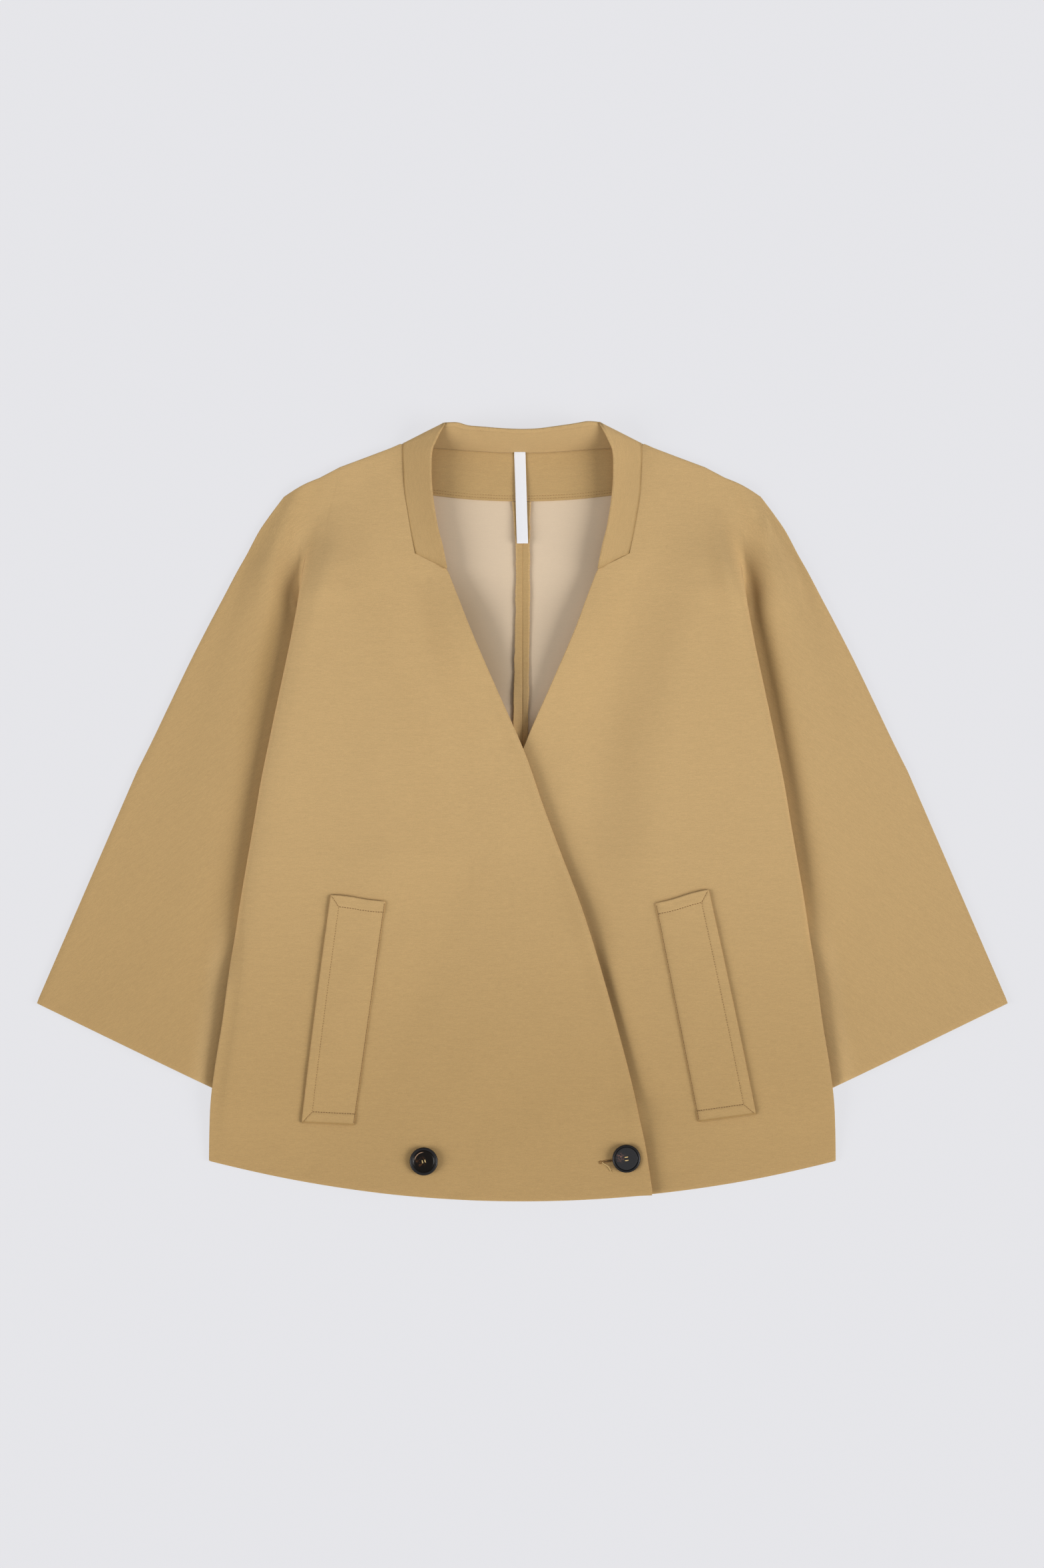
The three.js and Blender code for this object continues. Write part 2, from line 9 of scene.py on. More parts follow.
import bpy
import numpy as np
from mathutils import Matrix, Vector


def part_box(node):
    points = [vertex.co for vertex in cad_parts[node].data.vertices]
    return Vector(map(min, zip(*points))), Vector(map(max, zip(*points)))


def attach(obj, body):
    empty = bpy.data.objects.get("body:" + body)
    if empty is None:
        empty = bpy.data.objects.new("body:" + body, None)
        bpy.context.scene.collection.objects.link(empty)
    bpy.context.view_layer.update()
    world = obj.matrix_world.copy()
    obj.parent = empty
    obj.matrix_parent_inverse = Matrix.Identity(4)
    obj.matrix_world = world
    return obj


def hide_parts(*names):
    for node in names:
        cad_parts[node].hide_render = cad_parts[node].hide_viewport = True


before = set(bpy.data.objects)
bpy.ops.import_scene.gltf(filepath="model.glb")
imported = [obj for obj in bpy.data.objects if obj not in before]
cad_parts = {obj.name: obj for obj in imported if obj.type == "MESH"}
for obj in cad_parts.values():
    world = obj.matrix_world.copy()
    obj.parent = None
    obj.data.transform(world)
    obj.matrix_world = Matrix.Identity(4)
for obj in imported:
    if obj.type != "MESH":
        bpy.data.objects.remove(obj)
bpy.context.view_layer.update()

log = logging.getLogger("jacket")
Socket = bpy.types.NodeSocket
Material = bpy.types.Material
Object = bpy.types.Object
Colour = tuple[float, float, float, float]
Array = np.ndarray
Values = float | Array
Place = tuple[float, float]

MM = 0.001
SEED = 7

# ---- the cloth and how it is put together, in millimetres ---------------------------------------
CLOTH = 1.6
SEAM_GAP = 0.4
PITCH = CLOTH + SEAM_GAP
SEAM_HALF = 0.15
PAIR_REST = CLOTH / 2 + PITCH / 2
FACE, REVERSE = 0, 1
RIM_STEPS = 4
TINY = 1e-12

# The tuck between body and sleeve: its two bends when full, and how it starts at the shoulder.
BEND_ARC = math.pi * 3.6
YOUNG_ARC = 9.0
YOUNG_MIDDLE = 1.5
YOUNG_REACH = 10.0
YOUNG_LOFT = 1.8
SHOULDER_BOW = 1.3
TUCK_FALL = 4 * BEND_ARC / math.pi
TUCK_CLEAR = 12.0

# The body: how wide its gore beside the tuck is, where the lap ends, and its outline's steps and lean.
GORE_MARGIN = 92.0
GORE_SHARE = 0.8
LAP_PAST = 5.0
LAP_SHARES = (0.35, 0.86)
LINE_STEP = 6.0
EDGE_LEAN = 0.95
FRONT_LEAN = 0.93

# The edges: the hem, the lap's rise, the lapping front's lip with the middle, reach and rise of its
# swells, and how much a rim or a turned-in edge stands out.
HEM_CENTRE = -333.4
HEM_RISE = 4.75e-4
BACK_HEM_SHORTER = 1.2
LAP_RISE = 4.4
EDGE_EASE = 80.0
NECK_EDGE_RISE = 3.6
LIP = 1.4
LIP_SWELLS = ((-100.0, 52.0, 1.8), (-264.0, 20.0, 0.8))
CUFF_BULGE = 0.7
SEAM_BULGE = 0.1
EDGE_TURN_IN = 1.5
EDGE_BULGE = 0.8

# The air between front and back, and how much of it troughs may take.
BODY_LOFT = 2.5
SLEEVE_LOFT = 3.2
AIR_USED = 2.6
AIR_LEFT = 0.9
AIR_LEAST = 0.05

# Brightness, painted into the cloth's colour: painted shade that darkens the jacket further down,
# painted light on the sleeve beside the fold that lifts the fold's shade, the inside of the neck, and
# painted light that lifts the shade at the bottom of the V on the centre back seam.
BODY_PAINTED_SHADE_DOWN = 0.15
SLEEVE_PAINTED_SHADE_DOWN = 0.07
FOLD_PAINTED_LIGHT_AWAY = 10.5
FOLD_PAINTED_LIGHT_HALF = 7.5
NECK_NAP = 0.915
V_TIP_PAINTED_LIGHT = 0.5
V_TIP_LIGHT_MIDDLE = 58.0
V_TIP_LIGHT_REACH = 34.0

# The sleeve: its cuff's corners, and how it is turned from its place on the cut cloth.
CUFF_CORNER = (415.3, -164.5)
CUFF_INNER = (225.5, -256.0)
SLEEVE_GRAIN = math.radians(37.0)
SLEEVE_PIVOT = (172.5, 259.0)


class Side(Enum):
    """The wearer's side that a piece is made for, as the sign of its X."""

    LEFT = 1
    RIGHT = -1

    @property
    def word(self) -> str:
        """The side's word in the names of pieces."""
        return self.name.lower()


class Layer(Enum):
    """The panels that lie on each other, from the top down."""

    LAPPING_FRONT = "lapping front"
    UNDER_FRONT = "under front"
    BACK = "back"


# ---- small mathematics --------------------------------------------------------------------------
def smooth(t: Array) -> Array:
    """Eases from 0 to 1: 3t² - 2t³ of t held between 0 and 1."""
    held = np.clip(t, 0.0, 1.0)
    return held * held * (3.0 - 2.0 * held)


def ramp(value: Array, start: float, end: float) -> Array:
    """Eases from 0 where the value is start to 1 where it is end."""
    return smooth((value - start) / (end - start))


def mix(a: Array, b: Array, t: Array) -> Array:
    """The value a share t of the way from a to b."""
    return a + (b - a) * t


def bell(distance: Array, width: float) -> Array:
    """A soft hump: e to the power of minus the square of distance over width."""
    return np.exp(-((distance / width) ** 2))


def unit(vectors: Array) -> Array:
    """Rows of vectors brought to length 1."""
    return vectors / np.maximum(np.linalg.norm(vectors, axis=1, keepdims=True), TINY)


def distances(line: Array) -> Array:
    """How far along a line of points each point lies."""
    return np.concatenate([[0.0], np.cumsum(np.linalg.norm(np.diff(line, axis=0), axis=1))])


def graded(length: float, marks: tuple[float, ...], pitch: float, fine: float, reach: float) -> Array:
    """Positions along a length, close together near marks and wide apart elsewhere.

    Args:
        length: The whole length.
        marks: Where the positions are close.
        pitch: Their distance elsewhere.
        fine: Their distance near a mark.
        reach: How far from a mark they stay close.

    Returns:
        Rising positions from 0 to length: density 1/fine near a mark and 1/pitch elsewhere is summed
        along the length, and equal shares of that sum are taken.
    """
    samples = 4000
    dense = np.linspace(0.0, length, samples)
    nearest = np.min(np.abs(dense[:, None] - np.asarray(marks)[None, :]), axis=1)
    density = mix(1.0 / fine, 1.0 / pitch, smooth((nearest - reach) / (2.0 * reach)))
    summed = np.concatenate([[0.0], np.cumsum((density[1:] + density[:-1]) / 2 * np.diff(dense))])
    count = max(int(round(summed[-1])), 2)
    return np.interp(np.linspace(0.0, summed[-1], count + 1), summed, dense)


@dataclass(frozen=True)
class Stations:
    """A short table of stations with named columns, and a smooth line through each column.

    Attributes:
        columns: Each column's values, one row a station.
        corners: For a column, the stations where its line turns sharply.
    """

    columns: dict[str, Array]
    corners: dict[str, tuple[int, ...]] = field(default_factory=dict)

    @classmethod
    def of(cls, names: str, *rows: tuple, corners: dict[str, tuple[int, ...]] | None = None) -> "Stations":
        """Makes the table from its column names and rows.

        Args:
            names: The columns' names, with spaces between them.
            rows: One tuple a station.
            corners: The corner stations of some columns.

        Returns:
            The table.
        """
        pairs = zip(names.split(), zip(*rows))
        return cls({name: np.array(values, dtype=float) for name, values in pairs}, corners or {})

    def at(self, name: str, s: Array) -> Array:
        """A column's value at station numbers s that may lie between stations.

        Args:
            name: The column.
            s: Station numbers.

        Returns:
            Catmull-Rom values: a cubic through each two stations whose slope at a station is half the
            difference of its neighbours, or that of the one span at a corner.
        """
        column = self.columns[name]
        values = column.reshape(len(column), -1)
        last = len(values) - 1
        k = np.clip(np.floor(s).astype(int), 0, last - 1)
        t = (s - k)[:, None]
        rise = values[k + 1] - values[k]
        corners = self.corners.get(name, ())
        inward = (values[k + 1] - values[np.maximum(k - 1, 0)]) / 2
        onward = (values[np.minimum(k + 2, last)] - values[k]) / 2
        inward = np.where(np.isin(k, corners)[:, None], rise, inward)
        onward = np.where(np.isin(k + 1, corners)[:, None], rise, onward)
        bend = 3 * rise - 2 * inward - onward
        twist = inward + onward - 2 * rise
        return (values[k] + t * (inward + t * (bend + t * twist))).reshape(len(s), *column.shape[1:])

    def steps(self, name: str, pitch: float) -> Array:
        """Station numbers along a column of points, the stations among them.

        Args:
            name: The column.
            pitch: About how far apart they lie.

        Returns:
            Rising numbers: each span is divided evenly into its length over the pitch.
        """
        lengths = np.linalg.norm(np.diff(self.columns[name], axis=0), axis=1)
        counts = np.maximum(np.round(lengths / pitch).astype(int), 2)
        spans = [k + np.arange(count) / count for k, count in enumerate(counts)]
        return np.concatenate([*spans, [float(len(counts))]])


SHOULDER = Stations.of(
    "front back edge outer hidden turn loft",
    ((102.4, 314.6), (102.2, 314.0), (165.0, 289.2), (203.8, 268.8), 0, 0.0, 3.4),
    ((101.9, 295.0), (52.0, 309.5), (169.0, 273.0), (210.2, 260.4), 0, 0.0, 4.4),
    ((100.6, 272.6), (0.0, 307.0), (173.5, 258.0), (217.1, 251.0), 0, 0.0, 6.0),
    ((96.6, 246.0), (0.0, 272.0), (179.0, 232.0), (225.5, 238.5), 4, 0.13, 8.0),
    ((91.6, 220.2), (0.0, 240.0), (184.6, 205.0), (235.5, 219.5), 9, 0.4, 9.8),
    ((64.8, 206.8), (0.0, 215.0), (190.6, 180.0), (244.5, 203.5), 18, 0.7, 11.0),
    ((55.4, 182.0), (0.0, 185.0), (197.6, 148.0), (255.5, 182.5), 34, 0.92, 11.4),
    ((44.6, 153.0), (0.0, 155.0), (205.5, 112.0), (269.0, 157.0), 48, 1.0, 11.0),
    ((24.4, 106.5), (0.0, 108.0), (214.4, 70.0), (284.5, 126.6), 64, 1.0, 9.0),
    ((-0.3, 50.5), (0.0, 52.0), (223.6, 25.0), (303.2, 87.7), 80, 1.0, 6.0),
    ((-16.5, 4.0), (0.0, 0.0), (229.2, -8.0), (316.3, 60.2), 91, 1.0, 4.4),
    ((-33.0, -40.0), (0.0, -40.0), (234.8, -40.0), (329.6, 33.6), 100, 1.0, 2.5),
    corners={"front": (4, 5), "back": (2,)},
)
SIDE_SEAM = Stations.of(
    "front back edge hidden fall done",
    ((-33.0, -40.0), (0.0, -40.0), (234.8, -40.0), 100, TUCK_FALL, 0.0),
    ((-49.0, -82.0), (0.0, -84.0), (242.6, -85.0), 88, 13.2, 0.18),
    ((-63.6, -128.0), (0.0, -130.0), (249.6, -130.0), 75, 11.8, 0.36),
    ((-79.4, -184.0), (0.0, -184.0), (255.8, -178.0), 61, 10.4, 0.55),
    ((-91.4, -230.0), (0.0, -230.0), (262.4, -218.0), 50, 8.8, 0.73),
    ((-98.8, -263.5), (0.0, -264.0), (266.2, -247.0), 42, 6.6, 0.82),
    ((-104.2, -289.0), (0.0, -290.0), (267.6, -272.0), 36, 2.8, 0.91),
    ((-110.0, -327.7), (0.0, HEM_CENTRE), (268.2, -299.3), 30, 0.0, 1.0),
)
FRONT_COLLAR = Stations.of(
    "seam top",
    ((91.2, 220.0, 12.4), (65.2, 207.3, 15.2)),
    ((93.8, 231.6, 11.6), (69.0, 226.6, 15.8)),
    ((96.5, 246.0, 10.5), (73.6, 245.0, 16.4)),
    ((100.4, 272.6, 8.5), (77.6, 272.0, 17.2)),
    ((101.5, 295.0, 7.0), (78.6, 294.0, 18.6)),
    ((101.9, 309.0, 6.2), (76.8, 311.6, 21.0)),
    ((101.6, 314.9, 5.9), (66.6, 330.9, 24.4)),
)
BACK_COLLAR = Stations.of(
    "seam top",
    ((99.4, 312.4, 3.4), (66.4, 330.9, 22.2)),
    ((88.0, 312.2, 2.9), (56.0, 331.5, 23.8)),
    ((76.6, 311.8, 2.7), (46.0, 329.9, 23.2)),
    ((50.0, 310.2, 2.7), (30.0, 327.6, 22.0)),
    ((24.0, 308.4, 2.7), (14.0, 325.6, 21.6)),
    ((0.0, 307.8, 2.7), (0.0, 325.0, 21.6)),
    ((-24.0, 308.4, 2.7), (-14.0, 325.4, 21.6)),
    ((-50.0, 310.0, 2.7), (-30.0, 326.6, 22.0)),
    ((-76.6, 311.8, 2.7), (-46.0, 328.0, 23.0)),
    ((-88.0, 312.2, 2.9), (-56.0, 330.5, 23.8)),
    ((-99.4, 312.4, 3.4), (-66.4, 330.4, 22.2)),
)
FACING = Stations.of(
    "out upper lower",
    (0.0, 307.1, 265.4),
    (24.0, 307.7, 266.0),
    (50.0, 309.4, 267.6),
    (78.0, 311.2, 270.8),
    (90.0, 311.6, 272.6),
)
ALLOWANCES = Stations.of(
    "y left right",
    (265.0, 8.6, 7.2),
    (222.0, 5.6, 6.2),
    (180.0, 5.8, 6.4),
    (120.0, 7.0, 5.6),
    (60.0, 8.2, 4.6),
    (20.0, 8.0, 5.0),
)


# ---- surfaces and walls -------------------------------------------------------------------------
def weave(numbers: Array) -> Array:
    """Quads between the neighbours of a grid of point numbers, facing up where rows run down."""
    corners = (numbers[:-1, :-1], numbers[1:, :-1], numbers[1:, 1:], numbers[:-1, 1:])
    return np.stack(corners, axis=-1).reshape(-1, 4)


@dataclass
class Surface:
    """An open surface of quads, in millimetres.

    Attributes:
        points: One row a point.
        quads: Four point numbers a face.
        cloth: Each point's place on the cut cloth, with the weft along the first axis.
        nap: Each point's brightness, 1 on the body: the lie of the nap, with painted shade and painted
        light laid in.
    """

    points: Array
    quads: Array
    cloth: Array
    nap: Array

    @classmethod
    def grid(cls, points: Array, cloth: Array | None = None, nap: Values = 1.0) -> "Surface":
        """A surface through a grid of points.

        Args:
            points: Rows and columns of points.
            cloth: Their places on the cloth, or None to take them from above.
            nap: Their brightness, once for all or for each.

        Returns:
            The surface.
        """
        flat = points.reshape(-1, 3)
        numbers = np.arange(len(flat)).reshape(points.shape[:2])
        placed = flat[:, :2] if cloth is None else cloth.reshape(-1, 2)
        return cls(flat.copy(), weave(numbers), placed.copy(), nap * np.ones(len(flat)))

    def mirrored(self, side: Side) -> "Surface":
        """The surface for the given side of the body, from that of the left side."""
        if side is Side.LEFT:
            return self
        flip = np.array([-1.0, 1.0, 1.0])
        return Surface(self.points * flip, self.quads[:, ::-1], self.cloth * flip[:2], self.nap)

    def reversed(self) -> "Surface":
        """The same surface facing the other way."""
        return Surface(self.points, self.quads[:, ::-1], self.cloth, self.nap)

    def normals(self) -> Array:
        """Each point's unit normal.

        Returns:
            The sums of the cross products of its quads' diagonals, brought to length 1.
        """
        a, b, c, d = (self.points[self.quads[:, k]] for k in range(4))
        area = np.cross(c - a, d - b)
        corners = self.quads.ravel()
        spread = np.repeat(area, 4, axis=0)
        count = len(self.points)
        return unit(np.stack([np.bincount(corners, spread[:, k], count) for k in range(3)], axis=1))

    def border(self) -> Array:
        """The edges of the surface's own border.

        Returns:
            Two point numbers an edge: those whose opposite belongs to no quad.
        """
        edges = np.concatenate([self.quads[:, [k, (k + 1) % 4]] for k in range(4)])
        size = len(self.points)
        here = edges[:, 0].astype(np.int64) * size + edges[:, 1]
        there = edges[:, 1].astype(np.int64) * size + edges[:, 0]
        return edges[~np.isin(here, there)]

    def moved(self, heights: Array) -> "Surface":
        """The surface with each point moved along its normal."""
        moved = self.points + self.normals() * heights[:, None]
        return Surface(moved, self.quads, self.cloth, self.nap)


@dataclass
class Shell(Surface):
    """A closed mesh, with a finish number for each face."""

    finish: Array

    @classmethod
    def plain(cls, points: Array, quads: Array) -> "Shell":
        """A mesh of one finish, with its places on the cloth taken from above."""
        return cls(points, quads, points[:, :2].copy(), np.ones(len(points)), np.zeros(len(quads), dtype=int))

    @classmethod
    def joined(cls, shells: list["Shell"]) -> "Shell":
        """One mesh of several."""
        starts = np.cumsum([0] + [len(shell.points) for shell in shells[:-1]])
        numbered = [replace(shell, quads=shell.quads + start) for shell, start in zip(shells, starts)]
        parts = ("points", "quads", "cloth", "nap", "finish")
        return cls(*(np.concatenate([getattr(shell, part) for shell in numbered]) for part in parts))

    def put(self, name: str, finishes: list[Material]) -> Object:
        """Makes the mesh an object at the origin.

        Args:
            name: The piece's name.
            finishes: Its materials, in the order of the faces' finish numbers.

        Returns:
            The object.
        """
        mesh = bpy.data.meshes.new(name)
        mesh.from_pydata((self.points * MM).tolist(), [], self.quads.tolist())
        for finish in finishes:
            mesh.materials.append(finish)
        mesh.polygons.foreach_set("material_index", self.finish.astype(np.int32))
        mesh.polygons.foreach_set("use_smooth", np.ones(len(self.quads), dtype=bool))
        layer = mesh.uv_layers.new(name="cloth")
        layer.data.foreach_set("uv", (self.cloth[self.quads.ravel()] * MM).astype(np.float32).ravel())
        nap = mesh.attributes.new("nap", "FLOAT", "POINT")
        nap.data.foreach_set("value", self.nap.astype(np.float32))
        mesh.update()
        piece = bpy.data.objects.new(name, mesh)
        bpy.context.scene.collection.objects.link(piece)
        return piece


def wall(surface: Surface, thickness: Values, bulge: Values, sides: tuple[int, int] = (FACE, FACE)) -> Shell:
    """The closed wall half a thickness to each side of a surface, with a rounded rim.

    Args:
        surface: The middle of the wall.
        thickness: Its thickness, everywhere or at each point.
        bulge: How far the rim stands out, everywhere or at each point.
        sides: The finish numbers of the side the normals point to and of the other side.

    Returns:
        The wall. Its rim is a half ellipse: the normal times half the thickness times the cosine of
        an angle from 0 to 180 degrees, and the outward direction times the bulge times its sine.
    """
    points, normals = surface.points, surface.normals()
    count = len(points)
    half = np.broadcast_to(thickness, count)[:, None] / 2
    bulge = np.broadcast_to(bulge, count)[:, None]
    top, bottom = points + normals * half, points - normals * half
    border = surface.border()
    rim = np.unique(border)
    rank = np.zeros(count, dtype=int)
    rank[rim] = np.arange(len(rim))
    along = points[border[:, 1]] - points[border[:, 0]]
    outward = np.zeros((count, 3))
    for end in range(2):
        np.add.at(outward, border[:, end], np.cross(along, normals[border[:, end]]))
    outward = outward[rim]
    outward = unit(outward - normals[rim] * np.sum(outward * normals[rim], axis=1, keepdims=True))

    middle_rings = []
    numbers = [border]
    offset = 2 * count
    for k in range(1, RIM_STEPS):
        angle = math.pi * k / RIM_STEPS
        ring = points[rim] + normals[rim] * (half[rim] * math.cos(angle))
        middle_rings.append(ring + outward * (bulge[rim] * math.sin(angle)))
        numbers.append(offset + rank[border])
        offset += len(rim)
    numbers.append(border + count)
    rim_quads = [
        np.stack([upper[:, 1], upper[:, 0], lower[:, 0], lower[:, 1]], axis=1)
        for upper, lower in zip(numbers[:-1], numbers[1:])
    ]
    points = np.concatenate([top, bottom, *middle_rings])
    quads = np.concatenate([surface.quads, surface.quads[:, ::-1] + count, *rim_quads])
    cloth, nap = (
        np.concatenate([values, values, *[values[rim]] * (RIM_STEPS - 1)])
        for values in (surface.cloth, surface.nap)
    )
    faces = len(surface.quads)
    finish = np.repeat([*sides, FACE], [faces, faces, len(quads) - 2 * faces])
    return Shell(points, quads, cloth, nap, finish)


FLANKS = (0.8, 1.25)


@dataclass(frozen=True)
class Crease:
    """A soft trough or ridge along a slightly bowed line on laid cloth.

    Attributes:
        start: Where it begins, seen from above.
        end: Where it ends.
        width: Half its width.
        height: Its height in the middle, below zero for a trough.
        bow: How far its line bows to the left of its direction.
        peak: The share of its length where it is highest.
    """

    start: tuple[float, float]
    end: tuple[float, float]
    width: float
    height: float
    bow: float
    peak: float

    def lift(self, x: Array, y: Array) -> Array:
        """Height at places seen from above.

        Args:
            x: Places across.
            y: Places along.

        Returns:
            The height times a bell across the line, whose steeper flank is on its left, times a curve
            along it that is 0 at both ends and 1 at the peak.
        """
        direction = np.subtract(self.end, self.start)
        length = float(np.hypot(*direction))
        ux, uy = direction / length
        dx, dy = x - self.start[0], y - self.start[1]
        t = np.clip((dx * ux + dy * uy) / length, 0.0, 1.0)
        across = -dx * uy + dy * ux - self.bow * 4 * t * (1 - t)
        flank = np.where(across > 0, *FLANKS) * self.width
        skew = math.log(0.5) / math.log(self.peak)
        return self.height * np.exp(-((across / flank) ** 2)) * np.sin(math.pi * t**skew) ** 2


def creases(*rows: tuple[float, ...]) -> tuple[Crease, ...]:
    """Creases from rows of start x and y, end x and y, width, height, bow and peak."""
    return tuple(Crease(row[:2], row[2:4], *row[4:]) for row in rows)


BODY_CREASES = creases(
    (-152, 196, -158, -60, 15, -1.7, -6, 0.55),
    (-118, 170, -112, -150, 26, 0.8, 5, 0.4),
    (-60, 90, -6, 50, 6, -0.9, 3, 0.8),
    (-92, 206, -70, 96, 13, -0.7, 5, 0.35),
    (-24, 18, -72, -128, 13, -0.9, 4, 0.45),
    (-172, -276, -186, -316, 8, -1.1, 0, 0.7),
    (-52, -298, -57, -336, 8, -0.8, 0, 0.8),
    (-212, -70, -226, -262, 12, -1.2, -3, 0.5),
    (-184, 150, -206, -30, 11, -1.0, -3, 0.35),
    (-190, -40, -120, -50, 14, 0.7, 4, 0.5),
    (20, -60, 70, -250, 18, -0.7, -4, 0.5),
    (-30, -150, -60, -300, 26, 0.7, 5, 0.5),
    (24, -40, 66, -142, 17, 3.0, -2, 0.6),
    (88, -236, 102, -282, 13, 1.8, 0, 0.5),
    (68, 150, 78, -40, 17, -1.7, 5, 0.55),
    (38, 96, 44, -30, 15, 0.9, 3, 0.5),
    (128, 176, 122, -56, 22, 0.8, -6, 0.45),
    (160, 196, 186, 10, 12, -1.3, 4, 0.4),
    (210, -84, 228, -250, 12, -1.1, 3, 0.5),
    (92, 200, 74, 108, 12, -0.6, -4, 0.4),
    (128, -276, 138, -322, 10, -0.7, 0, 0.7),
    (212, -262, 204, -306, 9, -0.9, 0, 0.7),
)
SLEEVE_CREASES = creases(
    (-206, 196, -268, -60, 15, -1.9, -4, 0.3),
    (-238, 150, -330, -120, 24, -1.2, -8, 0.4),
    (-262, 96, -372, -150, 26, 1.0, -5, 0.5),
    (-246, -40, -300, -196, 20, -1.1, 6, 0.5),
    (-228, 226, -282, 104, 12, 0.9, -3, 0.5),
    (206, 204, 252, -40, 14, -2.0, 4, 0.3),
    (240, 150, 322, -110, 24, -1.2, 8, 0.45),
    (268, 92, 380, -150, 28, 1.0, 6, 0.5),
    (250, -60, 296, -190, 18, -1.0, -5, 0.55),
    (228, 232, 262, 168, 9, 1.2, 2, 0.5),
    (206, 262, 215, 222, 3.5, 1.6, -2, 0.5),
)
BACK_CREASES = creases(
    (-120, 250, -150, -140, 24, 1.1, -8, 0.4),
    (-60, 120, -90, -260, 26, 0.9, 8, 0.55),
    (-200, -60, -226, -270, 16, 1.0, 3, 0.5),
    (66, 190, 96, -180, 24, 1.0, -8, 0.45),
    (140, 230, 168, -40, 20, 1.1, 6, 0.5),
    (190, -120, 214, -290, 14, 0.9, 3, 0.6),
    (-244, 140, -340, -130, 24, 1.3, -8, 0.4),
    (-262, 60, -300, -170, 18, 0.9, 5, 0.5),
    (246, 150, 344, -110, 24, 1.3, 8, 0.5),
    (262, 40, 330, -170, 20, 1.0, -5, 0.5),
)


def lifted(creases: tuple[Crease, ...], x: Array, y: Array) -> Array:
    """The sum of several creases' heights at places seen from above."""
    return sum(crease.lift(x, y) for crease in creases)


WAVES = 8
WAVE_SPREAD = (0.7, 1.6)


def ripple(x: Array, y: Array, length: float, seed: int) -> Array:
    """A gentle unevenness between about -1 and 1.

    Args:
        x: Places across.
        y: Places along.
        length: The distance between its crests.
        seed: Which unevenness.

    Returns:
        Twice the mean of sine waves in random directions, with random phases and nearly that length.
    """
    random = np.random.default_rng(SEED + seed)
    angles, phases = random.uniform(0, 2 * math.pi, (2, WAVES))
    lengths = length * random.uniform(*WAVE_SPREAD, WAVES)
    waves = np.cos(angles)[:, None] * x.ravel() + np.sin(angles)[:, None] * y.ravel()
    waves = np.sin(2 * math.pi * waves / lengths[:, None] + phases[:, None])
    return (2 * waves.mean(axis=0)).reshape(x.shape)


@dataclass
class Carrier:
    """The outer face of a piece, as points and their unit normals, for what lies on it."""

    points: Array
    normals: Array

    def height(self, x: Array, y: Array) -> Array:
        """The face's height at places seen from above.

        Args:
            x: Places across.
            y: Places along.

        Returns:
            Heights of the tangent planes of the nearest points, weighed by one over the squared
            distance.
        """
        margin, nearest, softening = 9.0, 3, 0.3
        px, py = self.points[:, 0], self.points[:, 1]
        near = (px > x.min() - margin) & (px < x.max() + margin)
        near &= (py > y.min() - margin) & (py < y.max() + margin)
        points, normals = self.points[near], self.normals[near]
        dx = x.ravel()[:, None] - points[None, :, 0]
        dy = y.ravel()[:, None] - points[None, :, 1]
        squared = dx * dx + dy * dy
        order = np.argpartition(squared, nearest, axis=1)[:, :nearest]
        slopes = -normals[:, :2] / normals[:, 2:]
        dx, dy, squared = (np.take_along_axis(values, order, 1) for values in (dx, dy, squared))
        planes = points[order, 2] + slopes[order, 0] * dx + slopes[order, 1] * dy
        weights = 1.0 / (squared + softening)
        return (np.sum(planes * weights, axis=1) / np.sum(weights, axis=1)).reshape(x.shape)


# ---- finishes -----------------------------------------------------------------------------------
def linear(red: int, green: int, blue: int) -> Colour:
    """A colour given as three bytes, as linear light."""
    parts = np.array([red, green, blue]) / 255.0
    light = np.where(parts <= 0.04045, parts / 12.92, ((parts + 0.055) / 1.055) ** 2.4)
    return (*light.tolist(), 1.0)


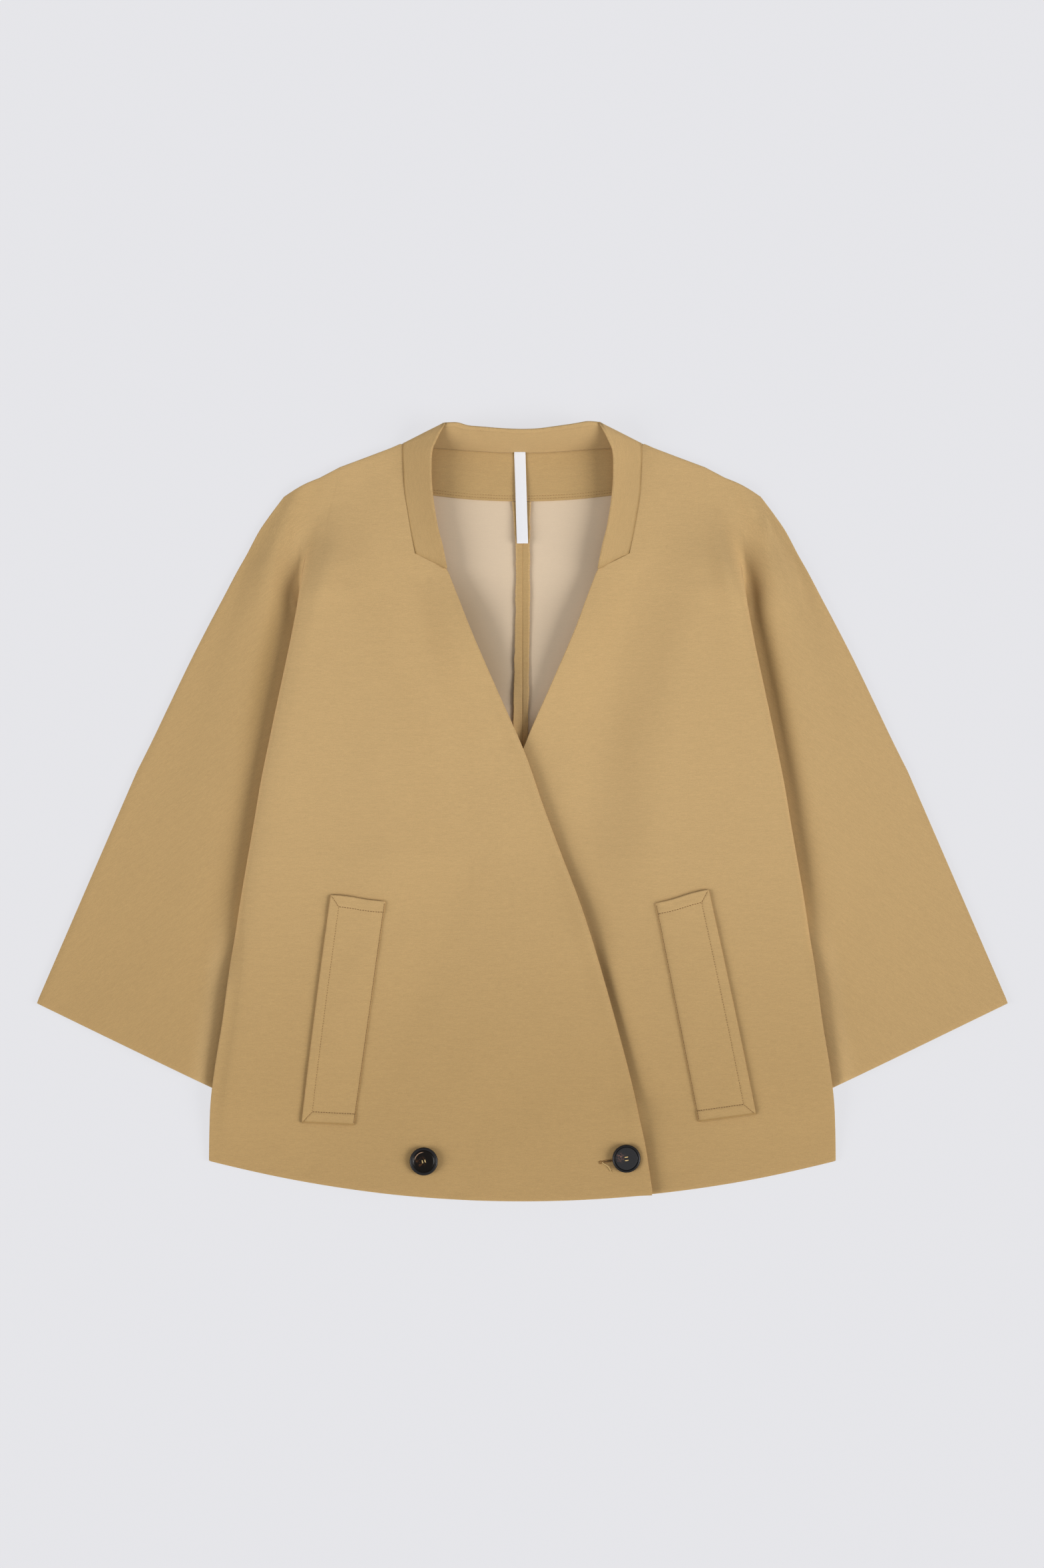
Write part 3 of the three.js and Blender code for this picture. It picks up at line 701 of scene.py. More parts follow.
class Wiring:
    """A material's nodes, added and joined in short calls."""

    def __init__(self, name: str) -> None:
        """Starts a material with only its shader and output.

        Args:
            name: The material's name.
        """
        self.material = bpy.data.materials.new(name)
        self.material.use_nodes = True
        self.tree = self.material.node_tree
        self.tree.nodes.clear()
        self.shader = self.tree.nodes.new("ShaderNodeBsdfPrincipled")
        output = self.tree.nodes.new("ShaderNodeOutputMaterial")
        self.give(output.inputs["Surface"], self.shader.outputs["BSDF"])

    def give(self, target: Socket, value: float | Colour | Socket) -> None:
        """Gives a socket a value, or joins it to the socket that feeds it."""
        if isinstance(value, Socket):
            self.tree.links.new(value, target)
        else:
            target.default_value = value

    def node(self, kind: str, settings: dict, inputs: dict) -> bpy.types.Node:
        """Adds a node.

        Args:
            kind: The node's type, without ShaderNode.
            settings: Its properties.
            inputs: For each input's name or number, a value or the socket that feeds it.

        Returns:
            The node.
        """
        node = self.tree.nodes.new(f"ShaderNode{kind}")
        for name, value in settings.items():
            setattr(node, name, value)
        for name, value in inputs.items():
            self.give(node.inputs[name], value)
        return node

    def cloth_place(self, scale: tuple[float, float], turn: float = 0.0) -> Socket:
        """The place on the cut cloth, stretched for a pattern and turned."""
        place = self.node("UVMap", {"uv_map": "cloth"}, {}).outputs["UV"]
        inputs = {"Vector": place, "Scale": (*scale, 1.0), "Rotation": (0.0, 0.0, turn)}
        return self.node("Mapping", {}, inputs).outputs["Vector"]

    def object_place(self, centre: tuple[float, float, float], scale: float) -> Socket:
        """The place in the object, from a centre in metres, scaled for a pattern."""
        place = self.node("TexCoord", {}, {}).outputs["Object"]
        move = tuple(-value * scale for value in centre)
        inputs = {"Vector": place, "Location": move, "Scale": (scale, scale, scale)}
        return self.node("Mapping", {}, inputs).outputs["Vector"]

    def noise(self, place: Socket, detail: float, rough: float = 0.5) -> Socket:
        """A noise between 0 and 1."""
        inputs = {"Vector": place, "Scale": 1.0, "Detail": detail, "Roughness": rough}
        return self.node("TexNoise", {}, inputs).outputs["Fac"]

    def around_one(self, value: Socket, low: float, high: float, swing: float) -> Socket:
        """A noise from a low to a high mapped onto 1 less and 1 more a swing."""
        return self.ranged(value, low, high, (1.0 - swing, 1.0 + swing))

    def vector(self, kind: str, first: object, second: object = (0.0, 0.0, 0.0)) -> bpy.types.Node:
        """A product, length or other operation of two vectors."""
        return self.node("VectorMath", {"operation": kind}, {0: first, 1: second})

    def product(self, first: object, *others: object) -> Socket:
        """The product of several values."""
        for other in others:
            first = self.math("MULTIPLY", first, other)
        return first

    def ranged(self, value: Socket, low: float, high: float, to: tuple[float, float]) -> Socket:
        """A value from a low to a high mapped onto another range, held at its ends."""
        inputs = {0: value, 1: low, 2: high, 3: to[0], 4: to[1]}
        return self.node("MapRange", {"interpolation_type": "SMOOTHSTEP"}, inputs).outputs[0]

    def math(self, kind: str, first: object, second: object) -> Socket:
        """A sum, product or other operation of two values."""
        return self.node("Math", {"operation": kind}, {0: first, 1: second}).outputs[0]

    def tint(self, colour: Colour | Socket, factor: Socket) -> None:
        """Gives the shader a colour times a factor that differs from place to place."""
        base = colour if isinstance(colour, Socket) else colour[:3]
        scaled = self.node("VectorMath", {"operation": "SCALE"}, {0: base, "Scale": factor})
        self.set(Base_Color=scaled.outputs["Vector"])

    def blended(self, share: Socket, first: object, second: object) -> Socket:
        """A colour a share of the way from one to another."""
        settings = {"data_type": "RGBA", "clamp_factor": True}
        return self.node("Mix", settings, {0: share, 6: first, 7: second}).outputs[2]

    def bump(self, height: Socket, distance: float, strength: float) -> None:
        """Raises the surface by a height, in metres."""
        inputs = {"Height": height, "Distance": distance, "Strength": strength}
        self.set(Normal=self.node("Bump", {}, inputs).outputs["Normal"])

    def set(self, **values: float | Colour | Socket) -> None:
        """Sets or feeds the shader's own sockets, with _ for a space in their names."""
        for name, value in values.items():
            self.give(self.shader.inputs[name.replace("_", " ")], value)


# Shares of the cloth's colour that make its painted shade tint, reached where the nap is 0.7 or less.
SHADE_TINT = (0.72, 0.67, 0.56, 1.0)
SHEEN_TINT = (1.0, 0.9, 0.72, 1.0)
# How often each pattern of the cloth repeats in a metre, along the weft and along the warp.
LONG_SLUB = (170.0, 1300.0)
SHORT_SLUB = (420.0, 2400.0)
GRAIN = (1300.0, 1500.0)
CLOUDS = (44.0, 330.0)


@dataclass(frozen=True)
class ClothFinish:
    """Double-faced coating: a fine weft slub over a close weave, with a soft nap.

    Attributes:
        name: The material's name.
        colour: The cloth's colour.
        slub: How strongly its slubs differ in brightness.
        turn: The angle of the weft on the piece, in radians.
        fuzz: How strongly its nap catches light from the side.
    """

    name: str
    colour: Colour
    slub: float = 0.036
    turn: float = 0.0
    fuzz: float = 0.2

    def material(self) -> Material:
        """Builds the material.

        Returns:
            The material: its colour times four noises about 1 and times the nap where it is above 1,
            and eased towards a painted shade tint where the nap is below 1.
        """
        wiring = Wiring(self.name)
        long_slub = wiring.noise(wiring.cloth_place(LONG_SLUB, self.turn), 2.0, 0.6)
        short_slub = wiring.noise(wiring.cloth_place(SHORT_SLUB, self.turn), 1.0)
        grain = wiring.noise(wiring.cloth_place(GRAIN, self.turn), 1.0, 0.6)
        broad = wiring.noise(wiring.cloth_place(CLOUDS, self.turn), 2.0)
        nap = wiring.node("Attribute", {"attribute_name": "nap"}, {}).outputs["Fac"]
        lit_share = wiring.node("MapRange", {}, {0: nap, 1: 0.7, 2: 1.0, 3: 0.0, 4: 1.0}).outputs[0]
        slub = wiring.around_one(long_slub, 0.25, 0.75, self.slub)
        fine = wiring.around_one(short_slub, 0.2, 0.8, 0.7 * self.slub)
        speck = wiring.around_one(grain, 0.2, 0.8, 1.6 * self.slub)
        cloud = wiring.around_one(broad, 0.25, 0.75, 0.4 * self.slub)
        factor = wiring.product(slub, fine, speck, cloud, wiring.math("MAXIMUM", nap, 1.0))
        painted_shade = tuple(part * share for part, share in zip(self.colour, SHADE_TINT))
        wiring.tint(wiring.blended(lit_share, painted_shade, self.colour), factor)
        height = wiring.math("ADD", wiring.product(long_slub, 0.7), wiring.product(grain, 0.6))
        wiring.bump(height, 0.00025, min(14.0 * self.slub, 0.5))
        wiring.set(Roughness=0.92, Specular_IOR_Level=0.2)
        wiring.set(Sheen_Weight=self.fuzz, Sheen_Roughness=0.6, Sheen_Tint=SHEEN_TINT)
        return wiring.material


@dataclass(frozen=True)
class TapeFinish:
    """Plain woven label tape."""

    name: str
    colour: Colour

    def material(self) -> Material:
        """Builds the material.

        Returns:
            The material: its colour, slightly darker between even ribs.
        """
        wiring = Wiring(self.name)
        ribs = wiring.node(
            "TexWave",
            {"wave_type": "BANDS", "bands_direction": "Y"},
            {"Vector": wiring.cloth_place((1.0, 1.0)), "Scale": 500.0, "Distortion": 0.3},
        ).outputs["Fac"]
        grain = wiring.noise(wiring.cloth_place((2200.0, 2200.0)), 1.0)
        wiring.tint(self.colour, wiring.ranged(wiring.product(ribs, grain), 0.0, 0.7, (0.96, 1.01)))
        wiring.bump(ribs, 0.0001, 0.25)
        wiring.set(Roughness=0.6, Specular_IOR_Level=0.35)
        return wiring.material


# Distances on a button, in metres, and shares of its noise, between which one tone eases to another.
RIM_BLEND = (-0.0002, 0.0003)
STREAK_REACH = (0.0005, 0.0062)
STREAK_SHARES = (0.46, 0.66)
HIGHLIGHT_ARC_REACH = (0.0035, 0.0062)
HIGHLIGHT_ARC_WIDTH = (0.0001, 0.00045)
RIM_ROUGHNESS = 0.42


@dataclass(frozen=True)
class HornFinish:
    """Horn, dark with paler streaks on its face and a plainer rim.

    Attributes:
        face: The ground colour of the face.
        rim: The colour of the rim.
        streak: The colour of the streaks.
        toward: Where the streaks lie, from the middle, in metres.
        gloss: The roughness of the face.
        inner: The radius where the rim starts, in metres.
        painted_highlight_arc: The radius of a thin pale arc painted as a lamp's reflection in the dish,
        in metres, or 0 for none.
    """

    face: Colour
    rim: Colour
    streak: Colour
    toward: tuple[float, float, float]
    gloss: float
    inner: float
    painted_highlight_arc: float = 0.0

    def material(self, name: str, centre: tuple[float, float, float]) -> Material:
        """Builds the material.

        Args:
            name: Its name.
            centre: The button's middle, in metres.

        Returns:
            The material. Streaks are noise within a few millimetres of a place, and the painted
            highlight, a lamp's reflection in the dish, is a pale part of a circle beside them.
        """
        wiring = Wiring(name)
        place = wiring.object_place(centre, 1.0)
        flat = wiring.vector("MULTIPLY", place, (1.0, 1.0, 0.0)).outputs["Vector"]
        radius = wiring.vector("LENGTH", flat).outputs["Value"]
        on_rim = wiring.ranged(radius, *(self.inner + step for step in RIM_BLEND), (0.0, 1.0))
        ground = wiring.blended(on_rim, self.face, self.rim)
        veins = wiring.noise(wiring.object_place(centre, 420.0), 3.0, 0.7)
        away = wiring.vector("DISTANCE", place, self.toward).outputs["Value"]
        near = wiring.ranged(away, *STREAK_REACH, (1.0, 0.0))
        share = wiring.product(near, wiring.ranged(veins, *STREAK_SHARES, (0.0, 1.0)))
        colour = wiring.blended(share, ground, self.streak)
        # Painted highlight: a pale arc in the dish where a lamp's reflection falls.
        if self.painted_highlight_arc:
            off = wiring.math("ABSOLUTE", wiring.math("SUBTRACT", radius, self.painted_highlight_arc), 0.0)
            middle = (-0.7 * self.painted_highlight_arc, 0.75 * self.painted_highlight_arc, 0.0)
            beside = wiring.vector("DISTANCE", flat, middle).outputs["Value"]
            part = wiring.ranged(beside, *HIGHLIGHT_ARC_REACH, (0.85, 0.0))
            line = wiring.product(wiring.ranged(off, *HIGHLIGHT_ARC_WIDTH, (1.0, 0.0)), part)
            colour = wiring.blended(line, colour, linear(196, 164, 138))
        wiring.set(Base_Color=colour, Roughness=wiring.ranged(on_rim, 0.0, 1.0, (self.gloss, RIM_ROUGHNESS)))
        wiring.bump(veins, 0.00005, 0.15)
        wiring.set(Specular_IOR_Level=0.4, Coat_Weight=0.12, Coat_Roughness=0.2)
        return wiring.material


@dataclass(frozen=True)
class ThreadFinish:
    """Spun sewing thread."""

    name: str
    colour: Colour

    def material(self) -> Material:
        """Builds the material.

        Returns:
            The material: its colour times a fine noise, which also roughens it.
        """
        wiring = Wiring(self.name)
        twist = wiring.noise(wiring.object_place((0.0, 0.0, 0.0), 2600.0), 1.0)
        wiring.tint(self.colour, wiring.ranged(twist, 0.2, 0.8, (0.82, 1.12)))
        wiring.bump(twist, 0.00008, 0.6)
        wiring.set(Roughness=0.7, Sheen_Weight=0.2)
        return wiring.material


@dataclass(frozen=True)
class FloorFinish:
    """The plain pale table under the jacket, lit from below as well.

    Attributes:
        name: The material's name.
        colour: Its colour under the lamps alone.
        glow: The light that comes through it.
    """

    name: str
    colour: Colour
    glow: Colour

    def material(self) -> Material:
        """Builds the material.

        Returns:
            The material: a matt colour with an even glow.
        """
        wiring = Wiring(self.name)
        wiring.set(Base_Color=self.colour, Emission_Color=self.glow, Emission_Strength=1.0)
        wiring.set(Roughness=0.95, Specular_IOR_Level=0.0)
        return wiring.material


class Wardrobe:
    """Every finish of the jacket, made once."""

    def __init__(self) -> None:
        """Makes the materials."""
        tan = linear(197, 170, 127)
        self.face = ClothFinish("camel_coating", tan).material()
        self.reverse = ClothFinish("pale_reverse", linear(215, 198, 176), 0.01, 0.0, 0.1).material()
        self.bias = ClothFinish("camel_coating_bias", tan, 0.03, math.radians(52)).material()
        self.tape = TapeFinish("white_tape", linear(232, 232, 235)).material()
        self.thread = ThreadFinish("tan_thread", linear(160, 127, 80)).material()
        self.deep_thread = ThreadFinish("brown_thread", linear(132, 102, 60)).material()
        self.pale_thread = ThreadFinish("cream_thread", linear(214, 190, 140)).material()
        self.slit = ThreadFinish("slit_shadow", linear(58, 40, 22)).material()


def place_piece(piece: Object, slot: str, *nodes: str) -> Object:
    """Lets a finished piece ride on the jacket's one body, and hides what it replaces.

    Args:
        piece: The piece.
        slot: Its material slot; not used.
        nodes: The solids it replaces.

    Returns:
        The piece.
    """
    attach(piece, "root")
    if nodes:
        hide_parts(*nodes)
    log.info("%s: %d faces", piece.name, len(piece.data.polygons))
    return piece


def square_to(line: Array) -> Array:
    """Unit vectors square to a line that runs down the wearer's left side, towards the body."""
    slope = np.gradient(line, axis=0)
    return unit(np.stack([slope[:, 1], -slope[:, 0]], axis=1))


# ---- fronts and backs with their sleeves --------------------------------------------------------
def past_line(column: str, x: Array, y: Array, lean: float) -> Array:
    """How far places on the wearer's left half lie outside one of the body's lines.

    Args:
        column: The line's column in the tables of stations.
        x: Places across.
        y: Places along.
        lean: The cosine of the line's usual lean.

    Returns:
        The distance across, times that cosine.
    """
    tables = (SIDE_SEAM, SHOULDER)
    line = np.concatenate([table.at(column, table.steps(column, LINE_STEP))[::-1] for table in tables])
    return lean * (x - np.interp(y, line[:, 1], line[:, 0]))


def outside(x: Array, y: Array) -> Array:
    """How far places on the wearer's left half lie outside the body's visible side edge."""
    return past_line("edge", x, y, EDGE_LEAN)


def beyond_front(x: Array, y: Array) -> Array:
    """How far places on the wearer's left front lie inside its own front edge."""
    return past_line("front", x, y, FRONT_LEAN)


def lower_down(y: Array) -> Array:
    """How far down the jacket places lie, from 0 at the chest to 1 at the hem."""
    return ramp(y, 60.0, -300.0)


@dataclass(frozen=True)
class Steps:
    """How finely a panel is divided."""

    pitch: float = 4.0
    lap: int = 34
    rise: int = 10
    gore: int = 36
    bend: int = 9
    tuck: int = 10
    sleeve: int = 36


@dataclass
class Rows:
    """Rows of points across part of a panel.

    Attributes:
        place: Points seen from above, rows by columns by 2.
        height: The height of the middle between front and back.
        loft: The air between them.
        body: 1 on the body and 0 on tuck and sleeve.
        sleeve: 1 on the sleeve and 0 on tuck and body.
    """

    place: Array
    height: Array
    loft: Array
    body: Array
    sleeve: Array

    @classmethod
    def of(cls, place: Array, height: Values, loft: Values, body: Values, sleeve: float) -> "Rows":
        """Rows whose height, loft and weights are given once, for each column or for each point."""
        full = np.ones(place.shape[:2])
        return cls(place, height * full, loft * full, body * full, sleeve * full)

    @classmethod
    def beside(cls, *parts: "Rows") -> "Rows":
        """Parts of the same rows put side by side."""
        names = ("place", "height", "loft", "body", "sleeve")
        return cls(*(np.concatenate([getattr(part, name) for part in parts], axis=1) for name in names))

    def after_first(self) -> "Rows":
        """All but the first row."""
        return Rows(self.place[1:], self.height[1:], self.loft[1:], self.body[1:], self.sleeve[1:])


@dataclass
class Panel:
    """Half of the front or back with its grown-on sleeve, cut in one piece.

    Attributes:
        name: The piece's name.
        node: The solid it replaces.
        side: The wearer's side.
        layer: Front or back.
        area: The cut's flat area in square metres; not used.
        flat: The cut's width and length in metres; not used.
        sleeve_nap: How bright the sleeve is beside the body.
        body_nap: How bright the body is.
        valley: How far from the body's edge the sleeve still dips towards it.
        dip: How deep that dip is.
        swell: How high the sleeve rises past it.
        furrow: How high the cloth rises to both sides of the fold's soft start at the shoulder.
        bank: How far inside the body's edge the inner of those two banks lies.
        fold_shade: How much painted shade darkens the fold's upper part, and how far from its edge.
        crown: How high the body rises just inside its edge.
        shade: How much painted shade darkens the back towards and under the front's edge; below zero it
        is painted light that lifts the shade there.
        steps: How finely it is divided.
    """

    name: str
    node: str
    side: Side
    layer: Layer
    area: float
    flat: tuple[float, float]
    sleeve_nap: float = 1.0
    body_nap: float = 1.0
    valley: float = 18.0
    dip: float = 1.8
    swell: float = 3.4
    furrow: float = 0.0
    bank: float = 9.0
    fold_shade: tuple[float, float] = (0.0, 10.0)
    crown: float = 0.6
    shade: float = 0.0
    steps: Steps = field(default_factory=Steps)

    @property
    def is_back(self) -> bool:
        """Whether this is a back panel."""
        return self.layer is Layer.BACK

    @property
    def lap(self) -> float:
        """How far the panel lies above the other front."""
        return LAP_RISE if self.layer is Layer.LAPPING_FRONT else 0.0

    def body_rows(self, table: Stations, s: Array, fall: Array, shift: Array) -> Rows:
        """Rows across the body, from the panel's own edge to the start of the tuck's bend.

        Args:
            table: The stations.
            s: Station numbers, one a row.
            fall: The height that each row loses over its tuck.
            shift: How far, and which way, each row's bend starts from its visible edge.

        Returns:
            The rows. Places are straight from the start to the gore point and on to the edge. The
            height rises by the fall, eased from the gore point on, and the loft fades out there.
        """
        start = table.at("back" if self.is_back else "front", s)
        back = table.at("back", s)
        edge = table.at("edge", s)
        front_x = table.at("front", s)[:, 0]
        hidden = table.at("hidden", s)
        front_loft = table.at("loft", s) if "loft" in table.columns else np.full(len(s), BODY_LOFT)
        if self.is_back:
            start = start + np.array([SEAM_HALF, 0.0])
        edge = edge + shift
        width = np.minimum(hidden + GORE_MARGIN, GORE_SHARE * (edge[:, 0] - np.maximum(front_x, 0.0)))
        gore = mix(edge, back, (width / (edge[:, 0] - back[:, 0]))[:, None])
        mirrored = np.maximum(LAP_PAST - start[:, 0], 0.0)
        share = np.clip((mirrored - start[:, 0]) / (gore[:, 0] - start[:, 0]), *LAP_SHARES)
        lap = mix(start, gore, share[:, None])
        narrow = gore[:, 0] - lap[:, 0]
        rise = self.lap * ramp(start[:, 1:], 212.0, 142.0)

        def lap_fade(out: Array) -> Array:
            """The lapping front's extra height, eased away beyond the other front's edge."""
            return rise * (1 - smooth((out - lap[:, :1]) / (narrow + width / 2)[:, None]))

        def edge_loft(place: Array) -> Array:
            """The air that only the front edge holds up, eased away from it."""
            away = np.linalg.norm(place - start[:, None], axis=2)
            return (front_loft - BODY_LOFT)[:, None] * (1 - smooth(away / EDGE_EASE))

        t_lap = np.arange(self.steps.lap) / self.steps.lap
        t_rise = np.arange(self.steps.rise) / self.steps.rise
        t_gore = np.arange(self.steps.gore + 1) / self.steps.gore
        lap_place, rise_place, gore_place = (
            mix(first[:, None], last[:, None], t[None, :, None])
            for first, last, t in ((start, lap, t_lap), (lap, gore, t_rise), (gore, edge, t_gore))
        )
        lap_loft = BODY_LOFT + edge_loft(lap_place) + rise
        rise_loft = BODY_LOFT + edge_loft(rise_place) + lap_fade(rise_place[..., 0])
        gore_loft = BODY_LOFT * (1 - smooth(t_gore)) + edge_loft(gore_place) + lap_fade(gore_place[..., 0])
        climb = t_gore * width[:, None] / np.maximum(width - hidden - TUCK_CLEAR, width / 4)[:, None]
        gore_height = PAIR_REST + fall[:, None] * smooth(climb)
        return Rows.beside(
            Rows.of(lap_place, PAIR_REST, lap_loft, 1.0, 0.0),
            Rows.of(rise_place, PAIR_REST, rise_loft, 1.0, 0.0),
            Rows.of(gore_place, gore_height, gore_loft, 1.0, 0.0),
        )

    @staticmethod
    def bend_arc(s: Array) -> Array:
        """The length of each bend of the tuck, which grows down from the shoulder."""
        return mix(YOUNG_ARC, BEND_ARC, ramp(SHOULDER.at("edge", s)[:, 1], 215.0, 95.0))

    def tuck_offsets(self, s: Array) -> tuple[Array, Array]:
        """How far out and down each point of the tuck lies from the start of its bend.

        Args:
            s: Station numbers, one a row.

        Returns:
            Distances out and down: the sums of the step length times the cosine and the sine of the
            heading, which turns down over the first bend and back over the second. Between the two
            a full tuck lies level.
        """
        turn = SHOULDER.at("turn", s)
        hidden = SHOULDER.at("hidden", s)
        bends, tucks = self.steps.bend, self.steps.tuck
        share = (np.arange(bends) + 0.5) / bends
        share = np.concatenate([share, np.ones(tucks), 1 - share])
        between = np.repeat([0.0, 1.0, 0.0], [bends, tucks, bends])
        heading = np.clip(turn, 0, 1)[:, None] * math.pi * share
        middle = mix(YOUNG_MIDDLE, hidden, ramp(turn, 0.5, 1.0))
        length = (1 - between) / bends * self.bend_arc(s)[:, None] + between / tucks * middle[:, None]
        level = between * ramp(turn, 0.4, 0.8)[:, None]
        down = length * np.sin(heading) * (1 - level)
        return np.cumsum(length * np.cos(heading), axis=1), np.cumsum(down, axis=1)

    @staticmethod
    def sleeve_rows(hidden: Array, outer: Array, steps: int, first: int) -> Rows:
        """Rows of the sleeve between its hidden edge and the overarm seam.

        Args:
            hidden: Each row's hidden edge.
            outer: Each row's overarm point.
            steps: Steps across.
            first: 0 to include the hidden edge and 1 to leave it out.

        Returns:
            The rows, whose loft is a squared sine across the sleeve.
        """
        t = (np.arange(first, steps + 1) / steps)[None, :, None]
        place = mix(hidden[:, None], outer[:, None], t)
        return Rows.of(place, PAIR_REST, SLEEVE_LOFT * np.sin(math.pi * t[..., 0]) ** 2, 0.0, 1.0)

    def upper_rows(self) -> Rows:
        """Rows from the shoulder down to the underarm.

        Returns:
            Rows across the body, the tuck and the sleeve. Near the shoulder the tuck is still young: it
            holds some air, and counts half as body and half as sleeve.
        """
        s = SHOULDER.steps("edge", self.steps.pitch)
        out, down = self.tuck_offsets(s)
        turn = SHOULDER.at("turn", s)
        edge, outer = SHOULDER.at("edge", s), SHOULDER.at("outer", s)
        along = unit(edge - outer)
        inward = unit(mix(along, square_to(edge), smooth(turn * 1.6)[:, None]))
        grown = ramp(turn, 0.0, 0.7)[:, None]
        reach = self.bend_arc(s)[:, None] / math.pi + (PITCH + CLOTH) / 2
        shift = mix(along, np.array([-1.0, 0.0]), grown) * mix(YOUNG_REACH, reach, grown)
        body = self.body_rows(SHOULDER, s, down[:, -1], shift)
        tuck_place = body.place[:, -1:, :] - inward[:, None, :] * out[..., None]
        tuck = Rows.of(tuck_place, body.height[:, -1:] - down, 0.0, 0.0, 0.0)
        bend = self.steps.bend
        tuck.body[:, :bend] = 1.0 - (np.arange(bend) + 1) / bend
        sleeve = self.sleeve_rows(tuck_place[:, -1], outer, self.steps.sleeve, 1)
        t = np.linspace(0, math.pi, self.steps.sleeve + 1)[None, 1:]
        sleeve.place[..., 1] += SHOULDER_BOW * np.sin(t) * ramp(outer[:, 1:], 250.0, 268.0)
        young = 1.0 - ramp(turn, 0.2, 0.8)[:, None]
        tuck.body = np.maximum(tuck.body, 0.5 * young)
        tuck.sleeve = tuck.sleeve + 0.5 * young
        gore = self.steps.gore + 1
        body.loft[:, -gore:] += YOUNG_LOFT * young * ramp(np.linspace(0.0, 1.0, gore), 0.375, 1.0)
        tuck.loft = tuck.loft + YOUNG_LOFT * young
        sleeve.loft = sleeve.loft + YOUNG_LOFT * young * (1 - smooth(t / math.pi * 1.8))
        return Rows.beside(body, tuck, sleeve)

    def lower_rows(self) -> Rows:
        """Rows of the body from the underarm to the hem.

        Returns:
            The rows. Their side edge goes on from the first bend of the tuck as a roll that opens out
            flat, and the last row follows the hem's bow.
        """
        s = SIDE_SEAM.steps("edge", self.steps.pitch)
        done = SIDE_SEAM.at("done", s)
        curl = math.pi * (1 - smooth(done / 0.5)) + 1e-3
        side = np.sin(np.minimum(curl, math.pi / 2))
        reach = BEND_ARC / curl * side + (PITCH + CLOTH) / 2 * side + SEAM_GAP * (1 - curl / math.pi)
        shift = reach[:, None] * np.array([-1.0, 0.0])
        rows = self.body_rows(SIDE_SEAM, s, SIDE_SEAM.at("fall", s), shift)
        bend = self.steps.bend
        heading = curl[:, None] * (np.arange(bend) + 0.5) / bend
        inward = square_to(SIDE_SEAM.at("edge", s))
        out, down = (np.cumsum(BEND_ARC / bend * part, axis=1) for part in (np.cos(heading), np.sin(heading)))
        roll_place = rows.place[:, -1:, :] - inward[:, None, :] * out[..., None]
        fade = 1.0 - (np.arange(bend) + 1) / bend
        roll = Rows.of(roll_place, rows.height[:, -1:] - down, 0.0, fade, 0.0)
        rows = Rows.beside(rows, roll)
        shorter = BACK_HEM_SHORTER if self.is_back else 0.0
        out, y = rows.place[-1, :, 0], rows.place[-1, :, 1]
        bow = HEM_CENTRE + HEM_RISE * out * out + shorter - y
        rows.place[..., 1] += bow[None, :] * smooth(done)[:, None]
        return rows.after_first()

    def cuff_rows(self, underarm: Array) -> Rows:
        """Rows of the sleeve from the underarm to the cuff.

        Args:
            underarm: The first row's points seen from above.

        Returns:
            The rows after the first, with both edges straight to the cuff's corners.
        """
        count = int(round(np.linalg.norm(np.subtract(CUFF_CORNER, underarm[-1])) / self.steps.pitch))
        t = (np.arange(1, count + 1) / count)[:, None]
        inner = mix(underarm[0][None], np.array(CUFF_INNER)[None], t)
        outer = mix(underarm[-1][None], np.array(CUFF_CORNER)[None], t)
        return self.sleeve_rows(inner, outer, self.steps.sleeve, 0)

    def surface(self) -> tuple[Surface, dict[str, Array]]:
        """The middle of the panel's wall for the side x > 0, with the weights of each point.

        Returns:
            The surface, and its points' loft, body and sleeve weights.
        """
        upper, lower = self.upper_rows(), self.lower_rows()
        body_columns = self.steps.lap + self.steps.rise + self.steps.gore + 1
        hidden_column = body_columns - 1 + 2 * self.steps.bend + self.steps.tuck
        cuff = self.cuff_rows(upper.place[-1, hidden_column:])
        parts = (upper, lower, cuff)
        names = ("height", "loft", "body", "sleeve")
        values = {name: np.concatenate([getattr(part, name).ravel() for part in parts]) for name in names}
        place = np.concatenate([part.place.reshape(-1, 2) for part in parts])
        points = np.column_stack([place, values["height"]])
        starts = np.cumsum([0, upper.height.size, lower.height.size])
        over, under, wrist = (
            start + np.arange(part.height.size).reshape(part.height.shape)
            for start, part in zip(starts, parts)
        )
        body = weave(np.vstack([over[-1, : under.shape[1]], under]))
        sleeve = weave(np.vstack([over[-1, hidden_column:], wrist]))
        quads = np.concatenate([weave(over), body, sleeve])
        middle = Surface(points, quads, self.cloth_places(place, values["sleeve"]), np.ones(len(points)))
        distance = np.full(len(points), -PITCH / 2) if self.is_back else PITCH / 2 + values["loft"]
        return middle.moved(distance), values

    def cloth_places(self, place: Array, sleeve: Array) -> Array:
        """Places on the cut cloth, where the sleeve is turned back about the shoulder.

        Args:
            place: Points seen from above.
            sleeve: Their sleeve weights.

        Returns:
            The places: as they lie on the body, turned by the sleeve's angle about the shoulder pivot
            on the sleeve, and a share of the way between the two on the tuck and near the shoulder.
        """
        pivot = np.array(SLEEVE_PIVOT)
        cosine, sine = math.cos(SLEEVE_GRAIN), math.sin(SLEEVE_GRAIN)
        turned = (place - pivot) @ np.array([[cosine, sine], [-sine, cosine]]) + pivot
        near_shoulder = ramp(place[:, 1], 215.0, 275.0) * ramp(place[:, 0], 260.0, 200.0)
        return mix(place, turned, (sleeve * (1 - near_shoulder))[:, None])

